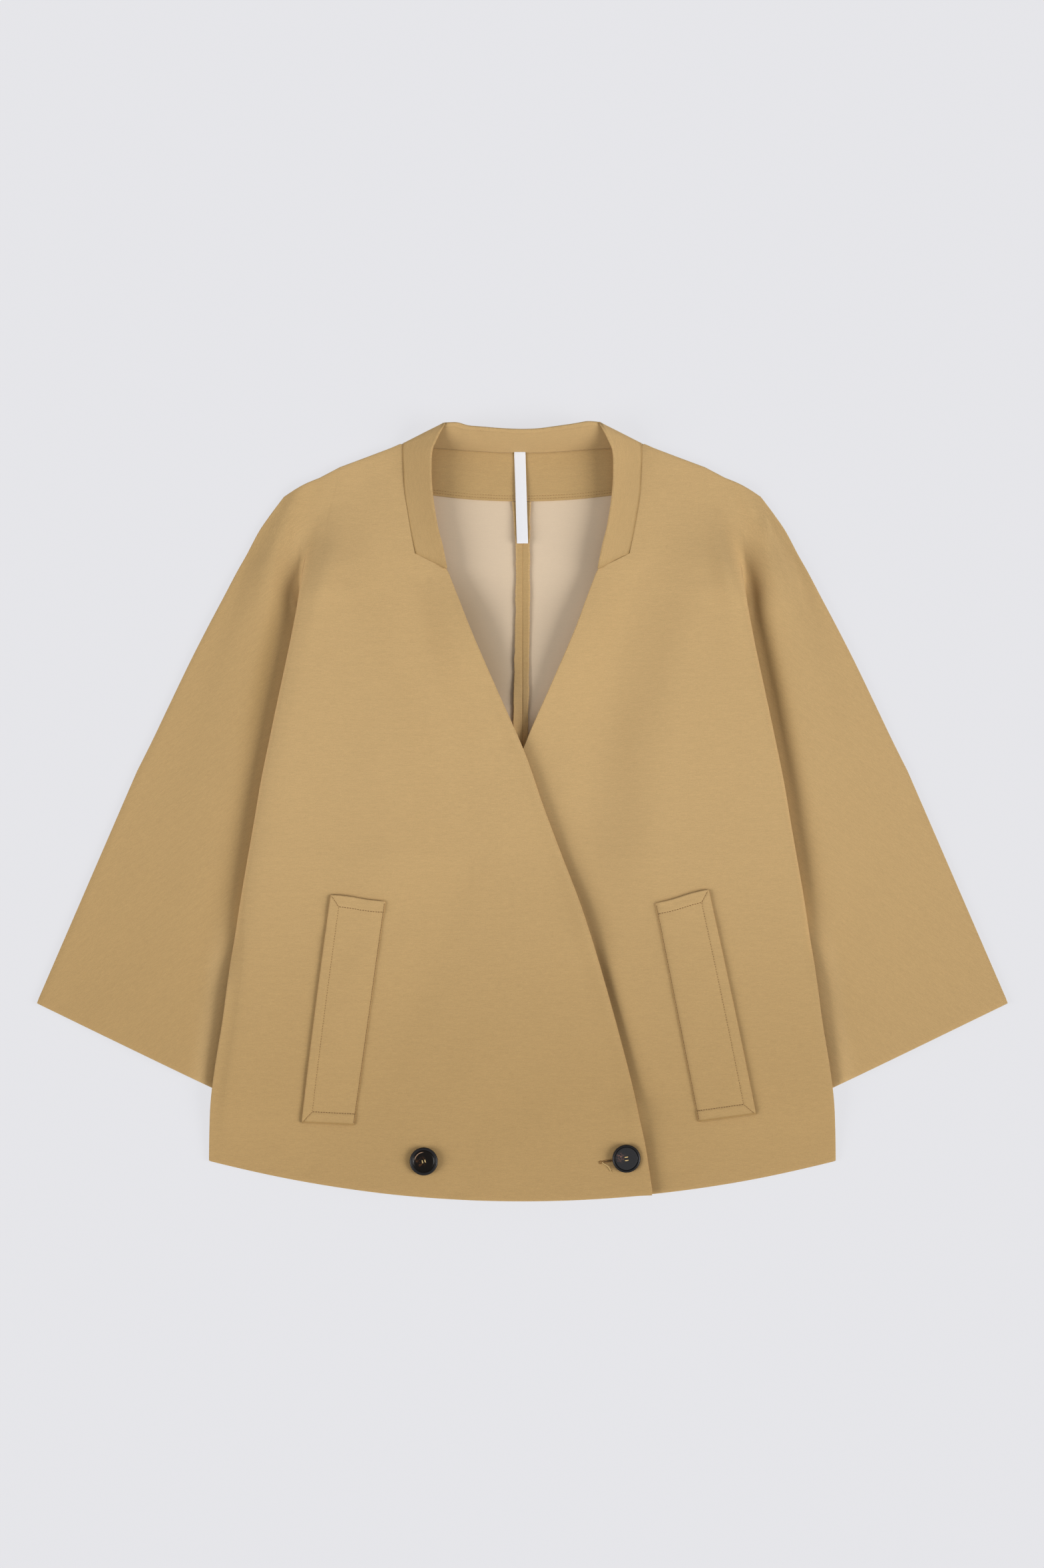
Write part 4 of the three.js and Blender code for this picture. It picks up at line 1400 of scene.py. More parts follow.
    def banks(self, surface: Surface) -> Array:
        """How much each point rises beside the fold's soft start at the shoulder.

        Args:
            surface: The panel's surface.

        Returns:
            A bell to each side of the fold's line, times a bell along it, eased away at the overarm seam.
        """
        outer_bank, width, middle, reach = 31.0, 12.0, 206.0, 40.0
        x, y = np.abs(surface.points[:, 0]), surface.points[:, 1]
        away = outside(x, y)
        outer = SHOULDER.at("outer", SHOULDER.steps("outer", LINE_STEP))[::-1]
        seam = smooth((np.interp(y, outer[:, 1], outer[:, 0]) - x) / 20.0)
        across = bell(away + self.bank, width) + bell(away - outer_bank, width)
        return self.furrow * across * bell(y - middle, reach) * seam

    def relief(self, surface: Surface, values: dict[str, Array]) -> Array:
        """How far creases and unevenness move each point along its normal.

        Args:
            surface: The panel's surface on its own side of the body.
            values: Its points' weights.

        Returns:
            The heights. A trough stays shallower than the air under it, and all fade out at the seams.
        """
        x, y = surface.points[:, 0], surface.points[:, 1]
        loft, body, sleeve = values["loft"], values["body"], values["sleeve"]
        out = np.abs(x)
        seam_fade = smooth(loft / 1.2)
        if self.is_back:
            height = lifted(BACK_CREASES, x, y) + 0.35 * (1 + ripple(x, y, 90, 5))
            return np.clip(height, 0.0, 1.4) * np.maximum(body, sleeve) * seam_fade * smooth(out / 18.0)
        height = lifted(BODY_CREASES, x, y) * body + lifted(SLEEVE_CREASES, x, y) * sleeve
        height = height + 0.3 * ripple(x, y, 70, 1) * np.minimum(body + sleeve, 1.0)
        away = outside(out, y)
        start = ramp(y, 235.0, 155.0)
        dip = 1 - smooth(away / self.valley)
        swell = self.swell * (1 - dip) * (1 - ramp(away, self.valley, self.valley + 80.0))
        depth = start * mix(0.06, 1.0, ramp(y, -170.0, 120.0))
        height = height + (swell - self.dip * dip) * sleeve * depth
        room = np.maximum(np.minimum(loft, AIR_USED) - AIR_LEFT, AIR_LEAST)
        troughs = -room * np.tanh(np.maximum(-height, 0.0) / room)
        ridges = np.maximum(height, 0.0) * mix(0.25, 1.0, seam_fade)
        crown = ramp(-away, 0.0, 15.0) * (1 - ramp(-away, 15.0, 70.0))
        crown = self.crown * crown * start * ramp(y, -300.0, -240.0)
        if self.layer is Layer.UNDER_FRONT:
            ridges = ridges + self.trench(x, y)
        return ridges + troughs + (crown + self.proud(x, y)) * body

    @staticmethod
    def trench(x: Array, y: Array) -> Array:
        """How the under front dips at the lapping front's edge and rises past it.

        Args:
            x: Places across.
            y: Places along.

        Returns:
            The heights, strongest halfway down the lap and eased away above and below.
        """
        dent, rise, dent_end, rise_end = 1.2, 2.5, 11.0, 57.0
        past = -beyond_front(-x, y)
        risen = ramp(past, 0.0, dent_end)
        across = rise * risen * (1 - ramp(past, dent_end, rise_end)) - dent * (1 - risen)
        return across * bell(y + 140.0, 80.0) * ramp(past, -24.0, -12.0)

    def proud(self, x: Array, y: Array) -> Array:
        """How much higher a front lies along its own edge.

        Args:
            x: Places across.
            y: Places along.

        Returns:
            The heights: a rise beside the neck, and on the lapping front a lip down to the hem.
        """
        inside = beyond_front(x * self.side.value, y)
        height = NECK_EDGE_RISE * (1 - ramp(inside, 0.0, 44.0)) * ramp(y, 205.0, 155.0) * ramp(y, 80.0, 140.0)
        if self.layer is Layer.LAPPING_FRONT:
            lip = LIP + sum(rise * bell(y - middle, reach) for middle, reach, rise in LIP_SWELLS)
            height = height + lip * (1 - ramp(inside, 0.0, 15.0)) * ramp(y, 120.0, 50.0)
        return height

    def tone(self, surface: Surface, sleeve: Array) -> Array:
        """How bright each point is: the lie of its nap, with painted shade and painted light.

        Args:
            surface: The panel's surface for the side x > 0.
            sleeve: Its points' sleeve weights.

        Returns:
            The brightness: the body's and the sleeve's own, both darker further down the jacket as
            painted shade; painted light on the sleeve beside the fold, lower down and at the fold's soft
            start, that lifts the fold's shade; painted shade in the fold's upper part; and on the back,
            painted shade towards the front's edge, painted light instead on one back, and painted light
            at the bottom of the V.
        """
        x, y = surface.points[:, 0], surface.points[:, 1]
        away, lower = outside(x, y), lower_down(y)
        part = mix(sleeve, ramp(away, -20.0, 50.0), ramp(y, 150.0, 200.0))
        # Painted shade: darker further down the jacket.
        nap = mix(self.body_nap - BODY_PAINTED_SHADE_DOWN * lower, self.sleeve_nap - SLEEVE_PAINTED_SHADE_DOWN * lower, part)
        # Painted light on the sleeve beside the fold, lower down and at its soft start, lifts the fold's
        # shade.
        strength = 0.14 * ramp(y, -60.0, -150.0) + 0.09 * bell(y - 212.0, 22.0)
        nap += strength * bell(away - FOLD_PAINTED_LIGHT_AWAY, FOLD_PAINTED_LIGHT_HALF)
        # Painted shade in the fold's upper part.
        painted_shade, middle = self.fold_shade
        nap -= painted_shade * bell(away - middle, 8.0) * bell(y - 120.0, 60.0)
        if self.is_back:
            # Painted shade on the back towards the front's edge, or painted light where the value is below
            # zero.
            nap -= self.shade * ramp(beyond_front(x, y), -34.0, 0.0) * ramp(y, 225.0, 165.0)
            # Painted light lifts the shade at the bottom of the V.
            nap += V_TIP_PAINTED_LIGHT * bell(x, 24.0) * bell(y - V_TIP_LIGHT_MIDDLE, V_TIP_LIGHT_REACH)
        return nap

    def build(self, wardrobe: Wardrobe) -> Carrier:
        """Makes and dresses the panel.

        Args:
            wardrobe: The finishes.

        Returns:
            Its outer face below the underarm, for what lies on it.
        """
        surface, values = self.surface()
        surface.nap = self.tone(surface, values["sleeve"])
        surface = surface.mirrored(self.side)
        rise = self.banks(surface)
        surface = surface.moved(self.relief(surface, values))
        surface.points[:, 2] += rise
        out, y = np.abs(surface.points[:, 0]), surface.points[:, 1]
        tight = (y > 300.0 if self.is_back else y > 205.0) & (out < 104.0)
        if self.is_back:
            tight |= out < 2.0
        bulge = np.where(tight, SEAM_BULGE, CUFF_BULGE)
        thickness = np.full(len(y), CLOTH)
        if self.layer is Layer.LAPPING_FRONT:
            turned_in = (1 - smooth(beyond_front(-surface.points[:, 0], y) / 8.0)) * ramp(y, 195.0, 155.0)
            thickness = thickness + EDGE_TURN_IN * turned_in
            bulge = bulge + EDGE_BULGE * turned_in
        shell = wall(surface, thickness, bulge, (REVERSE, FACE) if self.is_back else (FACE, REVERSE))
        piece = shell.put(self.name, [wardrobe.face, wardrobe.reverse])
        place_piece(piece, "face_cloth", self.node)
        normals = surface.normals()
        chosen = (values["body"] > 0.99) & (y < -20.0)
        return Carrier((surface.points + normals * CLOTH / 2)[chosen], normals[chosen])


# ---- collar, facing, allowances and label -------------------------------------------------------
@dataclass
class CollarBand:
    """A band of the collar, two layers sewn together, through its sections.

    Attributes:
        name: The piece's name.
        node: The solid it replaces.
        table: Its sections, from a seam point to a top point.
        crown: How much it rounds up between its edges.
        side: The side of the body, for a front band.
        standing: Whether it is the stand round the back neck.
        nap: How bright it is.
        thickness: The two layers' thickness.
        stitched: How far the stand's row of stitches lies from its top.
        pressed: Half the width of the allowance under a front band's seam.
        spots: Where the stand is a little uneven, as x, y, half a width and a height.
    """

    name: str
    node: str
    table: Stations
    crown: float
    side: Side = Side.LEFT
    standing: bool = False
    nap: float = 0.975
    thickness: float = 2.4
    stitched: float = 2.6
    pressed: float = 2.6
    spots: tuple[tuple[float, ...], ...] = ((-37.0, 321.0, 5.0, 0.9), (-46.0, 323.0, 4.0, -0.8))

    def build(self, wardrobe: Wardrobe) -> Object:
        """Makes and dresses the band: straight from seam to top, plus a sine across for its crown.

        Args:
            wardrobe: The finishes.

        Returns:
            The piece.
        """
        s = self.table.steps("seam", 2.5)
        seam, top = self.table.at("seam", s), self.table.at("top", s)
        length = float(np.linalg.norm(top - seam, axis=1).mean())
        marks = (self.stitched, 4.2, length - self.stitched) if self.standing else (0.0, length)
        across = graded(length, marks, pitch=1.7, fine=0.6, reach=1.4)
        t = across / length
        points = mix(seam[:, None], top[:, None], t[None, :, None])
        points[..., 2] += self.crown * np.sin(math.pi * t)
        along = distances(seam)
        cloth = np.stack(np.broadcast_arrays(along[:, None], across), axis=-1)
        # Painted shade: a darker line along the seam and along the notch, where the seam lies in shade.
        shade = 0.0 if self.standing else 0.16
        painted_seam_shade = bell(across, 0.8) + 0.8 * bell(along, 1.6)[:, None]
        surface = Surface.grid(points, cloth, self.nap * (1.0 - shade * painted_seam_shade).ravel())
        if not self.standing:
            surface = surface.reversed()
        surface = self.worn(surface, points.shape[:2], across, length).mirrored(self.side)
        bulge = np.where(np.tile(t > 0.99, len(s)), self.thickness / 2, 0.15)
        shells = [wall(surface, self.thickness, bulge)]
        if not self.standing:
            shells.append(self.allowance(seam))
        piece = Shell.joined(shells).put(self.name, [wardrobe.bias])
        return place_piece(piece, "face_cloth", self.node)

    def allowance(self, seam: Array) -> Shell:
        """The pressed seam allowance under the seam, which closes the gap to the front.

        Args:
            seam: The seam's points.

        Returns:
            Its wall, level across and sunk below the seam.
        """
        seam = seam[seam[:, 1] < 309.0]
        across = np.array([-self.pressed, 0.0, self.pressed])
        points = np.repeat(seam[:, None], 3, axis=1)
        points[..., :2] -= square_to(seam[:, :2])[:, None] * across[None, :, None]
        points[..., 2] -= 1.2
        # Painted shade: the strip is dark, so that the seam's gap reads as shadow.
        surface = Surface.grid(points, nap=0.4)
        if surface.normals()[:, 2].mean() < 0:
            surface = surface.reversed()
        return wall(surface.mirrored(self.side), 0.9, SEAM_BULGE)

    def worn(self, surface: Surface, shape: tuple[int, int], across: Array, length: float) -> Surface:
        """The band with its stitched groove and slight unevenness.

        Args:
            surface: The smooth band.
            shape: Its rows and columns.
            across: How far each column lies from the seam.
            length: The band's width.

        Returns:
            The band moved along its normals by ripples and bells.
        """
        x, y = surface.points[:, 0].reshape(shape), surface.points[:, 1].reshape(shape)
        height = 0.18 * ripple(x, y, 26, 11)
        if self.standing:
            height = height - 0.35 * bell(across - (length - self.stitched), 0.7)
            for spot_x, spot_y, width, rise in self.spots:
                height = height + rise * bell(x - spot_x, width) * bell(y - spot_y, 5.0)
        height = height * smooth(across / 3.0) * smooth((length - across) / 1.2)
        if not self.standing:
            height = height - 0.4 * bell(across, 0.9)
        return surface.moved(height.ravel())


@dataclass
class NeckInside:
    """What shows inside the back neck: the facing, the pressed seam allowances and the blank label."""

    facing_depth: float = 42.0
    facing_cloth: float = 1.2
    allowance_cloth: float = 1.0
    label_cloth: float = 1.0
    label_top: Place = (-2.2, 307.6)
    label_bottom: Place = (0.1, 229.3)
    label_width: float = 9.4
    label_length: float = 78.5
    stitch_rows: tuple[float, float] = (2.2, 4.6)

    def build(self, wardrobe: Wardrobe) -> None:
        """Makes and dresses the facing, both allowances and the label.

        Args:
            wardrobe: The finishes.
        """
        self.facing(wardrobe)
        for side in Side:
            self.allowance(wardrobe, side)
        self.label(wardrobe)

    def facing(self, wardrobe: Wardrobe) -> None:
        """The back neck facing, with two grooves of stitching above its lower edge.

        It is straight from its upper to its lower line, a sine higher across and a bell lower at each row.

        Args:
            wardrobe: The finishes.
        """
        s = np.linspace(0.0, 4.0, 33)
        columns = [FACING.at(name, s) for name in ("out", "upper", "lower")]
        out, upper, lower = (
            np.concatenate([sign * column[:0:-1], column]) for sign, column in zip((-1, 1, 1), columns)
        )
        depth = self.facing_depth
        marks = tuple(depth - row for row in self.stitch_rows)
        down = graded(depth, marks, pitch=2.6, fine=0.5, reach=1.0)
        t = down / depth
        y = mix(upper[:, None], lower[:, None], t)
        x = np.broadcast_to(out[:, None], y.shape)
        top = CLOTH + SEAM_GAP + self.facing_cloth
        grooves = sum(0.28 * bell(depth - down - row, 0.55) for row in self.stitch_rows)
        z = top - self.facing_cloth / 2 - grooves + 0.25 * (1 + ripple(x, y, 34, 3)) * np.sin(math.pi * t)
        surface = Surface.grid(np.stack([x, y, z], axis=-1), nap=NECK_NAP)
        piece = wall(surface, self.facing_cloth, 0.2).put("back_neck_facing_cloth", [wardrobe.face])
        place_piece(piece, "face_cloth", "back_neck_facing")
        height = np.full(len(out), top - 0.22)
        lines = [np.stack([out, mix(lower, upper, row / depth), height], axis=1) for row in self.stitch_rows]
        rows = [StitchRow(line, pitch=2.3, length=1.5, radius=0.24) for line in lines]
        sew("facing_stitches", rows, wardrobe.thread)

    def allowance(self, wardrobe: Wardrobe, side: Side) -> None:
        """One pressed seam allowance, straight from the seam to a frayed edge that lifts a little.

        Args:
            wardrobe: The finishes.
            side: The wearer's side that it lies on.
        """
        s = np.linspace(0.0, 5.0, 260)
        y, reach = ALLOWANCES.at("y", s), ALLOWANCES.at(Side(-side.value).word, s)
        random = np.random.default_rng(SEED + 20 + side.value)
        ragged = reach + 0.3 * ripple(y, 0 * y, 22, 30 + side.value) + random.uniform(-0.25, 0.25, len(y))
        t = np.linspace(0.0, 1.0, 9)
        x = side.value * mix(SEAM_HALF, ragged[:, None], t)
        ys = np.broadcast_to(y[:, None], x.shape)
        rest = CLOTH + SEAM_GAP + self.allowance_cloth / 2
        lift = 0.9 * smooth(t) * (0.6 + 0.5 * ripple(ys, 0 * ys, 40, 40 + side.value))
        z = rest + np.maximum(lift, 0.0) - 0.3 * bell(t, 0.12)
        # Paler towards the frayed edge, with painted light that lifts the shade at the bottom of the V.
        nap = mix(NECK_NAP, 1.1, ramp(t, 0.78, 1.0)) + V_TIP_PAINTED_LIGHT * bell(ys - V_TIP_LIGHT_MIDDLE, V_TIP_LIGHT_REACH)
        surface = Surface.grid(np.stack([x, ys, z], axis=-1), nap=nap.ravel())
        if side is Side.RIGHT:
            surface = surface.reversed()
        shell = wall(surface, self.allowance_cloth, SEAM_BULGE)
        piece = shell.put(f"seam_allowance_{side.word}_cloth", [wardrobe.face])
        place_piece(piece, "face_cloth", f"seam_allowance_{side.word}")

    def label(self, wardrobe: Wardrobe) -> None:
        """The blank woven label: level across but for a cosine, and lifted along by a squared sine.

        Args:
            wardrobe: The finishes.
        """
        t = np.linspace(0.0, 1.0, 60)[:, None]
        u = np.linspace(-0.5, 0.5, 11)
        middle = mix(np.array([self.label_top]), np.array([self.label_bottom]), t)
        x = middle[:, :1] + u * self.label_width
        y = np.broadcast_to(middle[:, 1:], x.shape)
        base = CLOTH + 2 * SEAM_GAP + self.facing_cloth + self.label_cloth / 2
        lift = 0.9 * np.sin(math.pi * t) ** 2 + 1.6 * ramp(t, 0.55, 1.0)
        z = base + lift + 0.35 * np.cos(math.pi * u)
        cloth = np.stack(np.broadcast_arrays(u * self.label_width, -t * self.label_length), axis=-1)
        surface = Surface.grid(np.stack([x, y, z], axis=-1), cloth)
        piece = wall(surface, self.label_cloth * 0.6, 0.15).put("label_blank", [wardrobe.tape])
        place_piece(piece, "label_tape", "label_tape")


# ---- stitches -----------------------------------------------------------------------------------
SPINDLE_SIDES = 6


@dataclass
class StitchRow:
    """A row of stitches along a line of points.

    Attributes:
        line: The line, from its first point to its last.
        pitch: The distance from one stitch to the next.
        length: The length of a stitch.
        radius: Half its thickness.
    """

    line: Array
    pitch: float
    length: float
    radius: float

    def shell(self) -> Shell:
        """The stitches at even steps along the line.

        Returns:
            Small closed spindles, each along the line about its middle.
        """
        walked = distances(self.line)
        count = max(int(walked[-1] / self.pitch), 1)
        at = (np.arange(count) + 0.5) * walked[-1] / count
        behind, centre, ahead = (
            np.stack([np.interp(at + step, walked, self.line[:, k]) for k in range(3)], axis=1)
            for step in (-0.3, 0.0, 0.3)
        )
        return spindles(centre, ahead - behind, self.length, self.radius)


def tube_quads(rings: int, sides: int) -> Array:
    """Quads of a closed tube of rings of points, with both ends filled in.

    Args:
        rings: How many rings follow each other.
        sides: The points of a ring, an even number.

    Returns:
        Four point numbers a face: neighbours round and along, then strips across the first and last ring.
    """
    numbers = np.arange(rings * sides).reshape(rings, sides)
    closed = np.hstack([numbers, numbers[:, :1]])
    around = np.stack([closed[:-1, :-1], closed[:-1, 1:], closed[1:, 1:], closed[1:, :-1]], axis=-1)
    k = np.arange(sides // 2 - 1)
    first, last = numbers[0], numbers[-1]
    start = np.stack([first[k], first[-1 - k], first[-2 - k], first[k + 1]], axis=1)
    end = np.stack([last[k], last[k + 1], last[-2 - k], last[-1 - k]], axis=1)
    return np.concatenate([around.reshape(-1, 4), start, end])


def circle(sides: int) -> tuple[Array, Array]:
    """The cosines and sines of equal steps round a circle."""
    angle = 2 * math.pi * np.arange(sides) / sides
    return np.cos(angle), np.sin(angle)


def spindles(centre: Array, along: Array, length: float, radius: float) -> Shell:
    """Many small closed spindles.

    Args:
        centre: The middle of each.
        along: The direction of each.
        length: Their length.
        radius: Their greatest radius.

    Returns:
        One mesh. A ring at a share t of the half length has the radius times the root of 1 - t², and
        the end rings are almost closed.
    """
    along = unit(along)
    up = unit(np.array([0.0, 0.0, 1.0]) - along * along[:, 2:])
    across = np.cross(along, up)
    t = np.array([-1.0, -0.8, -0.35, 0.35, 0.8, 1.0])
    ring = radius * np.sqrt(np.maximum(1 - t * t, 0.004))[:, None]
    cosine, sine = circle(SPINDLE_SIDES)
    offset = across[:, None, None] * (ring * cosine)[..., None] + up[:, None, None] * (ring * sine)[..., None]
    points = centre[:, None, None] + offset + along[:, None, None] * (t * length / 2)[:, None, None]
    starts = np.arange(len(centre)) * len(t) * SPINDLE_SIDES
    quads = tube_quads(len(t), SPINDLE_SIDES) + starts[:, None, None]
    return Shell.plain(points.reshape(-1, 3), quads.reshape(-1, 4))


def strand(path: Array, radius: Array, sides: int = 8) -> Shell:
    """A closed tube along a path.

    Args:
        path: Its points.
        radius: The tube's radius at each.
        sides: The sides of the tube.

    Returns:
        The tube: a circle of the given radius square to the path at each point.
    """
    along = unit(np.gradient(path, axis=0))
    helper = np.where(np.abs(along[:, 2:]) > 0.9, np.array([1.0, 0.0, 0.0]), np.array([0.0, 0.0, 1.0]))
    across = unit(np.cross(along, helper))
    up = np.cross(across, along)
    cosine, sine = circle(sides)
    ring = across[:, None] * cosine[:, None] + up[:, None] * sine[:, None]
    points = path[:, None] + ring * radius[:, None, None]
    return Shell.plain(points.reshape(-1, 3), tube_quads(len(path), sides)[:, [0, 3, 2, 1]])


def sew(name: str, rows: list[StitchRow], thread: Material) -> None:
    """Makes rows of stitches one piece.

    Args:
        name: The piece's name.
        rows: The rows.
        thread: Their finish.
    """
    place_piece(Shell.joined([row.shell() for row in rows]).put(name, [thread]), "face_cloth")


# ---- pocket welts -------------------------------------------------------------------------------
FAR = 99.0


@dataclass
class Welt:
    """A pocket welt: a folded strip, mitred at its free corners, hemmed with one row of stitches.

    Attributes:
        name: The piece's name.
        node: The solid it replaces.
        rests_on: The front it lies on; not used.
        free: The top and bottom corner of its free edge.
        sewn: The top and bottom corner of the edge sewn to the front.
        band: The hem's width along the free edge, the top and the bottom.
        bow: How far the top edge and the free edge bow out.
        thickness: Its thickness.
    """

    name: str
    node: str
    rests_on: str
    free: tuple[Place, Place]
    sewn: tuple[Place, Place]
    band: tuple[float, float, float] = (7.6, 9.2, 9.5)
    bow: tuple[float, float] = (0.5, 0.6)
    thickness: float = 1.6

    def build(self, wardrobe: Wardrobe, carrier: Carrier) -> None:
        """Makes and dresses the welt.

        Args:
            wardrobe: The finishes.
            carrier: The front it lies on.
        """
        width = math.dist(self.sewn[0], self.free[0])
        length = math.dist(*self.free)
        side, top, bottom = self.band
        across = graded(width, (0.0, side), pitch=3.2, fine=0.6, reach=3.2)
        marks = (top / 2, length - bottom / 2)
        down = graded(length, marks, pitch=3.4, fine=0.6, reach=top / 2 + 1.0)
        v, u = np.meshgrid(down, across, indexing="ij")
        flat = self.place(u / width, v / length, width)
        z = carrier.height(flat[..., 0], flat[..., 1]) + SEAM_GAP + self.thickness / 2
        z = z + self.relief(u, v) + 0.16 * ripple(flat[..., 0], flat[..., 1], 24, 50)
        surface = Surface.grid(np.concatenate([flat, z[..., None]], axis=-1))
        if self.sewn[0][0] < self.free[0][0]:
            surface = surface.reversed()
        # Painted shade: darker further down the jacket, and a dark line along the bottom edge where its
        # shadow falls.
        surface.nap = 1.0 - 0.14 * lower_down(surface.points[:, 1]) - 0.4 * bell((length - v).ravel(), 0.8)
        bulge = np.where((width - u).ravel() < 0.01, SEAM_BULGE, self.thickness / 2)
        piece = wall(surface, self.thickness, bulge).put(self.name, [wardrobe.face])
        place_piece(piece, "face_cloth", self.node)
        self.stitches(wardrobe, surface, u, v)

    def place(self, a: Array, b: Array, width: float) -> Array:
        """Points seen from above.

        Args:
            a: Shares of the way from the free edge to the sewn edge.
            b: Shares of the way from the top to the bottom.
            width: The welt's width.

        Returns:
            The points: straight between the corners, with a wave in the top edge and a bow in the free
            edge.
        """
        free_top, free_bottom, sewn_top, sewn_bottom = np.array([*self.free, *self.sewn])
        across, down = a[..., None], b[..., None]
        flat = mix(mix(free_top, sewn_top, across), mix(free_bottom, sewn_bottom, across), down)
        flat[..., 1] += self.bow[0] * np.sin(2 * math.pi * a) * (1 - b) ** 2
        outward = (free_top - sewn_top) / width
        return flat + outward * self.bow[1] * np.sin(math.pi * down) * (1 - across)

    def relief(self, u: Array, v: Array) -> Array:
        """How much each point lies above the welt's even middle.

        Args:
            u: Distances from the free edge.
            v: Distances from the top.

        Returns:
            Heights: grooves at the stitches and the mitres, a step down inside the hem, a little air
            under the free edges, and a sunk edge at the seam.
        """
        side, top, bottom = self.band
        width, length = u[0, -1], v[-1, 0]
        rest = length - v
        low = length - bottom
        on_side = (v > top - 0.4) & (v < low + 0.4)
        along_side = np.where(on_side, np.abs(u - side), FAR)
        along_ends = np.where(u > side - 0.4, np.minimum(np.abs(v - top), np.abs(v - low)), FAR)
        stitch = np.minimum(along_side, along_ends)
        mitre = np.full(u.shape, FAR)
        for band, end in ((top, v), (bottom, rest)):
            corner = np.abs(u * band - end * side) / math.hypot(side, band)
            mitre = np.where((u < side) & (end < band), corner, mitre)
        inner = smooth((u - side) / 1.2) * smooth((v - top) / 1.2) * smooth((low - v) / 1.2)
        height = -0.5 * bell(stitch, 0.8) - 0.7 * bell(mitre, 0.7) - 0.5 * inner
        height = height + 0.22 * np.sin(math.pi * np.clip(u / side, 0, 1)) * (u < side)
        from_free = np.minimum(np.minimum(u, v), rest)
        height = height + 0.2 * (1 - smooth(u / 26.0)) + 0.2 * (1 - smooth(from_free / 3.0)) * (u < width - 3)
        return height - 0.7 * (1 - smooth((width - u) / 1.6))

    def stitches(self, wardrobe: Wardrobe, surface: Surface, u: Array, v: Array) -> None:
        """Sews the hem along the top, the free edge and the bottom, over both mitres, and the seam.

        Args:
            wardrobe: The finishes.
            surface: The middle of the welt.
            u: Its points' distances from the free edge.
            v: Their distances from the top.
        """
        side, top, bottom = self.band
        width, length = u[0, -1], v[-1, 0]
        face = Carrier(surface.points + surface.normals() * self.thickness / 2, surface.normals())
        plan = surface.points.reshape(*u.shape, 3)

        def on_welt(line_u: Array, line_v: Array) -> Array:
            """Points on the welt's face along a line in its own sizes, mixed from their four neighbours."""
            rows = np.interp(line_v, v[:, 0], np.arange(len(v)))
            columns = np.interp(line_u, u[0], np.arange(u.shape[1]))
            r0 = np.clip(np.floor(rows).astype(int), 0, len(v) - 2)
            c0 = np.clip(np.floor(columns).astype(int), 0, u.shape[1] - 2)
            down, across = (rows - r0)[:, None], (columns - c0)[:, None]
            near = mix(plan[r0, c0], plan[r0, c0 + 1], across)
            far = mix(plan[r0 + 1, c0], plan[r0 + 1, c0 + 1], across)
            flat = mix(near, far, down)
            flat[:, 2] = face.height(flat[:, 0], flat[:, 1]) + 0.02
            return flat

        t = np.linspace(0.0, 1.0, 60)
        low = length - bottom
        lines = (
            (width - 0.8, side, top, top, 1.6, 0.36),
            (side, side, top, low, 1.2, 0.2),
            (side, width - 0.8, low, low, 1.6, 0.36),
            (0.9, side, 1.0, top, 2.2, 0.24),
            (0.9, side, length - 1.0, low, 2.2, 0.24),
            (width - 0.2, width - 0.2, 1.5, length - 1.5, 2.3, 0.22),
        )
        rows = [
            StitchRow(on_welt(mix(u0, u1, t), mix(v0, v1, t)), 2.2, stitch, radius)
            for u0, u1, v0, v1, stitch, radius in lines
        ]
        sew(f"{self.name}_stitches", rows, wardrobe.deep_thread)


# ---- buttons ------------------------------------------------------------------------------------
def rotation(axis: int, angle: float) -> Array:
    """The matrix that turns points about an axis.

    Args:
        axis: 0 for X, 1 for Y or 2 for Z.
        angle: The turn, in radians.

    Returns:
        The matrix, for points as columns.
    """
    first, second = (axis + 1) % 3, (axis + 2) % 3
    matrix = np.eye(3)
    matrix[first, first] = matrix[second, second] = math.cos(angle)
    matrix[second, first] = math.sin(angle)
    matrix[first, second] = -math.sin(angle)
    return matrix


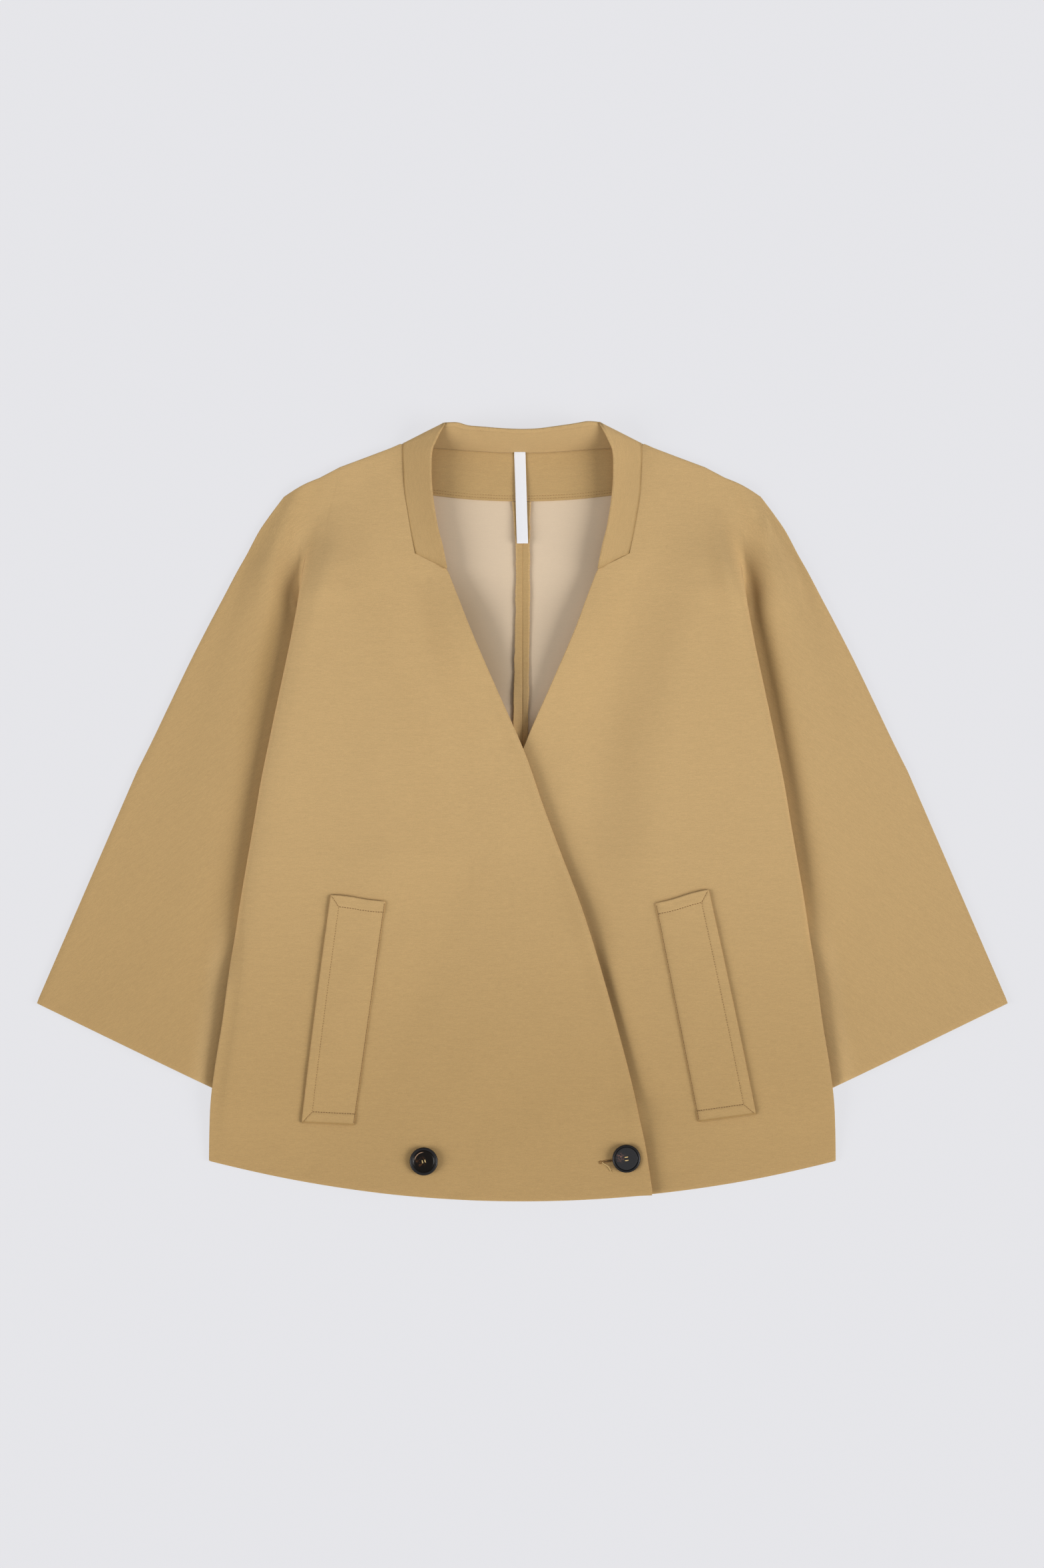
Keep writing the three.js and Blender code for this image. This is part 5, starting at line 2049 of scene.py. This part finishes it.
@dataclass
class Button:
    """A turned horn button with four holes and its thread.

    Attributes:
        name: The piece's name.
        node: The solid it replaces.
        tilt: Its turns about X and Y, in radians.
        profile: Radius and height of its turned outline, from the middle of its back to its face.
        horn: Its finish.
        spread: How far each hole lies from the middle, along both axes.
        hole: A hole's radius.
        turn: The turn of its holes, in radians.
        sides: How many sides the turned form has.
        half: Half its height.
        thread_radius: Half the thickness of its thread.
        thread_apart: Half the distance between two passes of it.
        thread_arch: How high it stands out of the holes.
    """

    name: str
    node: str
    tilt: tuple[float, float]
    profile: tuple[tuple[float, float], ...]
    horn: HornFinish
    spread: float = 1.4
    hole: float = 0.75
    turn: float = 0.0
    sides: int = 96
    half: float = 1.8
    thread_radius: float = 0.26
    thread_apart: float = 0.24
    thread_arch: float = 1.15

    def centre(self) -> Array:
        """The middle of the button's back, from the solid's box, in millimetres."""
        return np.mean(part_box(self.node), axis=0) / MM - np.array([0.0, 0.0, self.half])

    def turned(self, points: Array) -> Array:
        """Points of the upright button, turned by its holes' turn, tilted and put in place."""
        turned = points @ rotation(2, self.turn).T
        return turned @ (rotation(0, self.tilt[0]) @ rotation(1, self.tilt[1])).T + self.centre()

    def body(self) -> Shell:
        """The turned form.

        Returns:
            Its mesh: the outline, rounded by a cubic through its points, carried round the axis.
        """
        outline = Stations.of("point", *((corner,) for corner in self.profile))
        spans = len(self.profile) - 1
        radius, height = outline.at("point", np.linspace(0.0, spans, spans * 5 + 1)).T[..., None]
        radius = np.maximum(radius, 0.02)
        cosine, sine = circle(self.sides)
        upright = np.stack(np.broadcast_arrays(radius * cosine, radius * sine, height), axis=-1)
        shell = Shell.plain(upright.reshape(-1, 3), tube_quads(len(radius), self.sides))
        shell.points = self.turned(shell.points)
        return shell

    def drill(self) -> Object:
        """The tool for the holes.

        Returns:
            Four upright pins where the holes go.
        """
        heights = np.array([-4.0, 0.0, 4.0, 8.0])
        pins = []
        for u, v in itertools.product((-self.spread, self.spread), repeat=2):
            path = np.stack(np.broadcast_arrays(u, v, heights), axis=1)
            pins.append(strand(self.turned(path), np.full(len(heights), self.hole), sides=16))
        return Shell.joined(pins).put(f"{self.name}_drill", [])

    def build(self, wardrobe: Wardrobe) -> None:
        """Makes, drills and dresses the button and its thread.

        Args:
            wardrobe: The finishes.
        """
        centre = tuple(float(value) * MM for value in self.centre())
        piece = self.body().put(self.name, [self.horn.material(f"horn_{self.node}", centre)])
        drill = self.drill()
        cut = piece.modifiers.new("holes", "BOOLEAN")
        cut.operation, cut.solver, cut.object = "DIFFERENCE", "EXACT", drill
        bpy.context.view_layer.update()
        drilled = bpy.data.meshes.new_from_object(piece.evaluated_get(bpy.context.evaluated_depsgraph_get()))
        piece.modifiers.clear()
        piece.data = drilled
        bpy.data.objects.remove(drill)
        place_piece(piece, "dark_horn", self.node)
        self.thread(wardrobe)

    def thread(self, wardrobe: Wardrobe) -> None:
        """Two passes of thread on each side of the middle, each from hole to hole in a flat arch.

        Args:
            wardrobe: The finishes.
        """
        t = np.linspace(-1.0, 1.0, 15)
        arch = self.thread_arch * np.sqrt(np.maximum(1 - np.abs(t) ** 3, 0.0))
        height = self.profile[-1][1] - 0.7 + arch
        passes = (-self.thread_apart, self.thread_apart)
        strands = []
        for u, shift in itertools.product((-self.spread, self.spread), passes):
            path = np.stack([np.full(len(t), u + shift), t * (self.spread + 0.2), height], axis=1)
            strands.append(strand(self.turned(path), np.full(len(t), self.thread_radius)))
        thread = Shell.joined(strands).put(f"{self.name}_thread", [wardrobe.pale_thread])
        place_piece(thread, "face_cloth")


@dataclass
class Buttonhole:
    """The worked buttonhole beside the fastened button, with its loose thread end.

    Attributes:
        start: The end of the slit with the bar.
        end: Its other end.
        lip: The width of both lips together, about.
        tail_start: Where the loose thread leaves the bar.
        tail_end: Where it ends.
        tail_bow: How far, and which way, it bows.
    """

    start: Place = (66.4, -300.9)
    end: Place = (80.0, -298.3)
    lip: float = 1.15
    tail_start: Place = (68.2, -300.6)
    tail_end: Place = (76.4, -309.2)
    tail_bow: tuple[float, float] = (0.936, 0.897)

    def build(self, wardrobe: Wardrobe, carrier: Carrier) -> None:
        """Makes the slit, its stitched lips, the bar at its end and the thread end.

        Args:
            wardrobe: The finishes.
            carrier: The front it is worked in.
        """
        start, end = np.array([self.start]), np.array([self.end])
        along = unit(end - start)
        across = np.stack([-along[:, 1], along[:, 0]], axis=1)

        def on_front(flat: Array, rise: Values) -> Array:
            """Points at a height above the front."""
            return np.column_stack([flat, carrier.height(flat[:, 0], flat[:, 1]) + rise])

        def ways(count: int, lean: float) -> Array:
            """The directions of stitches across the slit, each leaning a little at random."""
            flat = across + along * random.uniform(-lean, lean, (count, 1))
            return np.pad(flat, ((0, 0), (0, 1)))

        random = np.random.default_rng(SEED + 60)
        stitches, bars = 26, 11
        middle = mix(start, end, np.linspace(0.22, 1.0, stitches)[:, None])
        spots, directions = [], []
        for sign in (-1.0, 1.0):
            offset = across * sign * (self.lip * 0.62)
            spots.append(middle + offset + along * random.uniform(-0.1, 0.1, (stitches, 1)))
            directions.append(ways(stitches, 0.25))
        places = on_front(np.concatenate(spots), 0.12)
        lips = spindles(places, np.concatenate(directions), length=1.5, radius=0.3)
        bar = mix(start, end, np.linspace(-0.04, 0.2, bars)[:, None])
        bar = bar + across * random.uniform(-0.35, 0.35, (bars, 1))
        bar_shell = spindles(on_front(bar, 0.22), ways(bars, 0.5), length=2.9, radius=0.34)
        t = np.linspace(0.0, 1.0, 24)
        arch = np.sin(math.pi * t) ** 2
        tail = mix(np.array([self.tail_start]), np.array([self.tail_end]), t[:, None])
        tail = tail + np.array(self.tail_bow) * arch[:, None]
        loose = strand(on_front(tail, 0.35 + 0.8 * arch), mix(0.34, 0.2, t))
        loose.finish[:] = 1
        shell = Shell.joined([lips, bar_shell, loose])
        place_piece(shell.put("buttonhole_thread", [wardrobe.thread, wardrobe.pale_thread]), "face_cloth")
        # The slit is a dark strand: painted shadow in the opening.
        t = np.linspace(0.2, 1.0, 20)
        slit = on_front(mix(start, end, t[:, None]), -0.02)
        radius = 0.42 * np.sin(math.pi * 0.9 * t) + 0.05
        place_piece(strand(slit, radius).put("buttonhole_slit", [wardrobe.slit]), "face_cloth")


# ---- light, floor and camera --------------------------------------------------------------------
@dataclass(frozen=True)
class Lamp:
    """A large soft light far away.

    Attributes:
        name: Its name.
        bearing: The direction it stands in, in degrees round from +X towards +Y.
        rise: How high it stands, in degrees.
        spread: How wide it looks, in degrees.
        strength: Its irradiance square to its beam, in watts a square metre.
    """

    name: str
    bearing: float
    rise: float
    spread: float
    strength: float

    def build(self) -> None:
        """Adds the light to the scene."""
        data = bpy.data.lights.new(self.name, "SUN")
        data.energy, data.angle = self.strength, math.radians(self.spread)
        light = bpy.data.objects.new(self.name, data)
        light.rotation_euler = (math.radians(90 - self.rise), 0.0, math.radians(self.bearing + 90))
        bpy.context.scene.collection.objects.link(light)


@dataclass
class Studio:
    """A pale floor, soft light from all round with two larger lights, and a camera high above.

    Attributes:
        centre: The place under the camera, in metres.
        frame_height: The length of floor that the frame shows.
        height: The camera's height.
        sensor: The height of its sensor, in millimetres.
        floor_half: Half the floor's width.
        floor_drop: How far it lies below the jacket.
        floor: Its colour under the lamps alone.
        glow: The light that comes through it.
        sky: The strength of the light from all round.
        gamma: The gamma of the view.
        lamps: The two larger lights.
    """

    centre: Place = (-0.0003, 0.0231)
    frame_height: float = 1.345
    height: float = 4.2
    sensor: float = 24.0
    floor_half: float = 6.0
    floor_drop: float = 0.0002
    floor: tuple[int, int, int] = (84, 84, 85)
    glow: tuple[int, int, int] = (222, 222, 225)
    sky: float = 0.37
    gamma: float = 0.8
    lamps: tuple[Lamp, ...] = (
        Lamp("right_lamp", -12.0, 32.0, 34.0, 2.45),
        Lamp("left_lamp", 192.0, 29.0, 34.0, 2.0),
    )

    def build(self) -> None:
        """Makes the floor, the lights and the camera."""
        scene = bpy.context.scene
        scene.view_settings.view_transform = "Standard"
        scene.view_settings.gamma = self.gamma
        mesh = bpy.data.meshes.new("floor")
        half = self.floor_half
        corners = [(-half, -half), (half, -half), (half, half), (-half, half)]
        mesh.from_pydata([(x, y, -self.floor_drop) for x, y in corners], [], [(0, 1, 2, 3)])
        mesh.materials.append(FloorFinish("pale_floor", linear(*self.floor), linear(*self.glow)).material())
        floor = bpy.data.objects.new("floor", mesh)
        scene.collection.objects.link(floor)

        world = bpy.data.worlds.new("studio")
        world.use_nodes = True
        background = world.node_tree.nodes["Background"].inputs
        background["Color"].default_value = (1.0, 1.0, 1.0, 1.0)
        background["Strength"].default_value = self.sky
        scene.world = world
        for lamp in self.lamps:
            lamp.build()

        camera = bpy.data.objects.new("camera", bpy.data.cameras.new("camera"))
        camera.location = (*self.centre, self.height)
        camera.data.sensor_fit = "VERTICAL"
        camera.data.sensor_height = self.sensor
        camera.data.lens = self.sensor * self.height / self.frame_height
        camera.data.clip_end = 50.0
        scene.collection.objects.link(camera)
        scene.camera = camera


RIMMED_PROFILE = (
    (0.0, 0.0), (6.0, 0.0), (9.6, 0.1), (11.2, 0.8), (12.0, 2.0), (11.7, 3.0), (10.9, 3.5),
    (9.9, 3.45), (9.3, 2.8), (8.4, 2.2), (6.0, 1.8), (3.0, 1.6), (0.0, 1.6),
)
FLAT_PROFILE = (
    (0.0, 0.0), (6.0, 0.0), (9.6, 0.1), (11.2, 0.8), (12.0, 2.0), (11.6, 3.0), (10.9, 3.4),
    (10.3, 3.3), (9.95, 2.2), (9.6, 2.3), (9.3, 2.85), (5.0, 2.9), (0.0, 2.8),
)
DISHED_HORN = HornFinish(
    linear(24, 18, 14), linear(42, 41, 43), linear(112, 76, 48), (-0.003, -0.0005, 0.002), 0.3, 0.0096, 0.0078
)
CHARCOAL_HORN = HornFinish(
    linear(58, 58, 60), linear(42, 41, 43), linear(150, 112, 100), (-0.0055, 0.0012, 0.002), 0.42, 0.0099
)


@dataclass
class Jacket:
    """The whole jacket, piece by piece."""

    wardrobe: Wardrobe = field(default_factory=Wardrobe)

    def build(self) -> None:
        """Makes every piece in the order in which they lie on each other."""
        under, over = self.panels()
        self.collar()
        NeckInside().build(self.wardrobe)
        Welt(
            "pocket_welt_right_cloth", "pocket_welt_right", "front_right_cloth",
            ((-163.0, -72.2), (-188.1, -266.3)), ((-117.3, -77.4), (-144.2, -268.6)),
        ).build(self.wardrobe, over)
        Welt(
            "pocket_welt_left_cloth", "pocket_welt_left", "front_left_cloth",
            ((158.4, -67.6), (199.0, -259.0)), ((113.9, -79.1), (151.0, -265.8)),
        ).build(self.wardrobe, under)
        Button(
            "button_outer_horn", "button_outer", (0.03, -0.02), RIMMED_PROFILE, DISHED_HORN,
            spread=1.15, turn=0.25,
        ).build(self.wardrobe)
        Button(
            "button_fastened_horn", "button_fastened", (0.02, 0.04), FLAT_PROFILE, CHARCOAL_HORN,
            turn=math.radians(98),
        ).build(self.wardrobe)
        Buttonhole().build(self.wardrobe, over)

    def panels(self) -> tuple[Carrier, Carrier]:
        """Makes both backs and both fronts.

        Returns:
            The faces of the under front and of the lapping front.
        """
        front_flat, back_flat = (0.731, 0.650), (0.621, 0.648)
        # Painted light on the left back and painted shade on the right back, towards the fronts' edges.
        for side, shade in ((Side.LEFT, -0.1), (Side.RIGHT, 0.15)):
            name = f"back_{side.word}"
            Panel(f"{name}_cloth", name, side, Layer.BACK, 0.239, back_flat, shade=shade).build(self.wardrobe)
        under = Panel(
            "front_left_cloth", "front_left", Side.LEFT, Layer.UNDER_FRONT, 0.248, front_flat, 0.98, 1.01,
            valley=22.0, dip=2.8, swell=7.5, furrow=6.0, fold_shade=(0.12, 9.5), crown=0.5, steps=Steps(lap=64),
        )
        # The lapping front's sleeve is darker: painted shade for the wearer's right side, away from the
        # stronger lamp.
        over = Panel(
            "front_right_cloth", "front_right", Side.RIGHT, Layer.LAPPING_FRONT, 0.248, front_flat, 0.92, 1.0,
            valley=27.0, dip=1.6, swell=3.8, furrow=4.5, bank=17.0, fold_shade=(0.09, 16.0), crown=2.6,
        )
        return under.build(self.wardrobe), over.build(self.wardrobe)

    def collar(self) -> None:
        """Makes the two front bands of the collar, and the stand round the back neck with its stitches."""
        # The band on the wearer's right is darker: painted shade for the band turned from the stronger lamp.
        for side, nap in ((Side.LEFT, 0.97), (Side.RIGHT, 0.92)):
            node = f"collar_front_{side.word}"
            band = CollarBand(f"{node}_cloth", node, FRONT_COLLAR, -1.0, side, nap=nap).build(self.wardrobe)
        node = "collar_back_stand"
        stand = CollarBand(f"{node}_cloth", node, BACK_COLLAR, 1.2, standing=True)
        stand.build(self.wardrobe)
        s = BACK_COLLAR.steps("top", 3.0)[2:-2]
        seam, top = BACK_COLLAR.at("seam", s), BACK_COLLAR.at("top", s)
        length = np.linalg.norm(top - seam, axis=1, keepdims=True)
        line = mix(seam, top, 1 - stand.stitched / length)
        normal = unit(np.cross(top - seam, np.gradient(line, axis=0)))
        line = line + normal * np.sign(normal[:, 2:]) * 1.05
        line[:, 2] += stand.crown * math.sin(math.pi * 0.1)
        row = StitchRow(line, pitch=2.3, length=1.5, radius=0.18)
        sew("collar_stand_stitches", [row], self.wardrobe.thread)


def main() -> None:
    """Builds the studio and the jacket."""
    logging.basicConfig(level=logging.INFO, format="%(name)s %(message)s")
    Studio().build()
    Jacket().build()


if __name__ == "__main__":
    main()
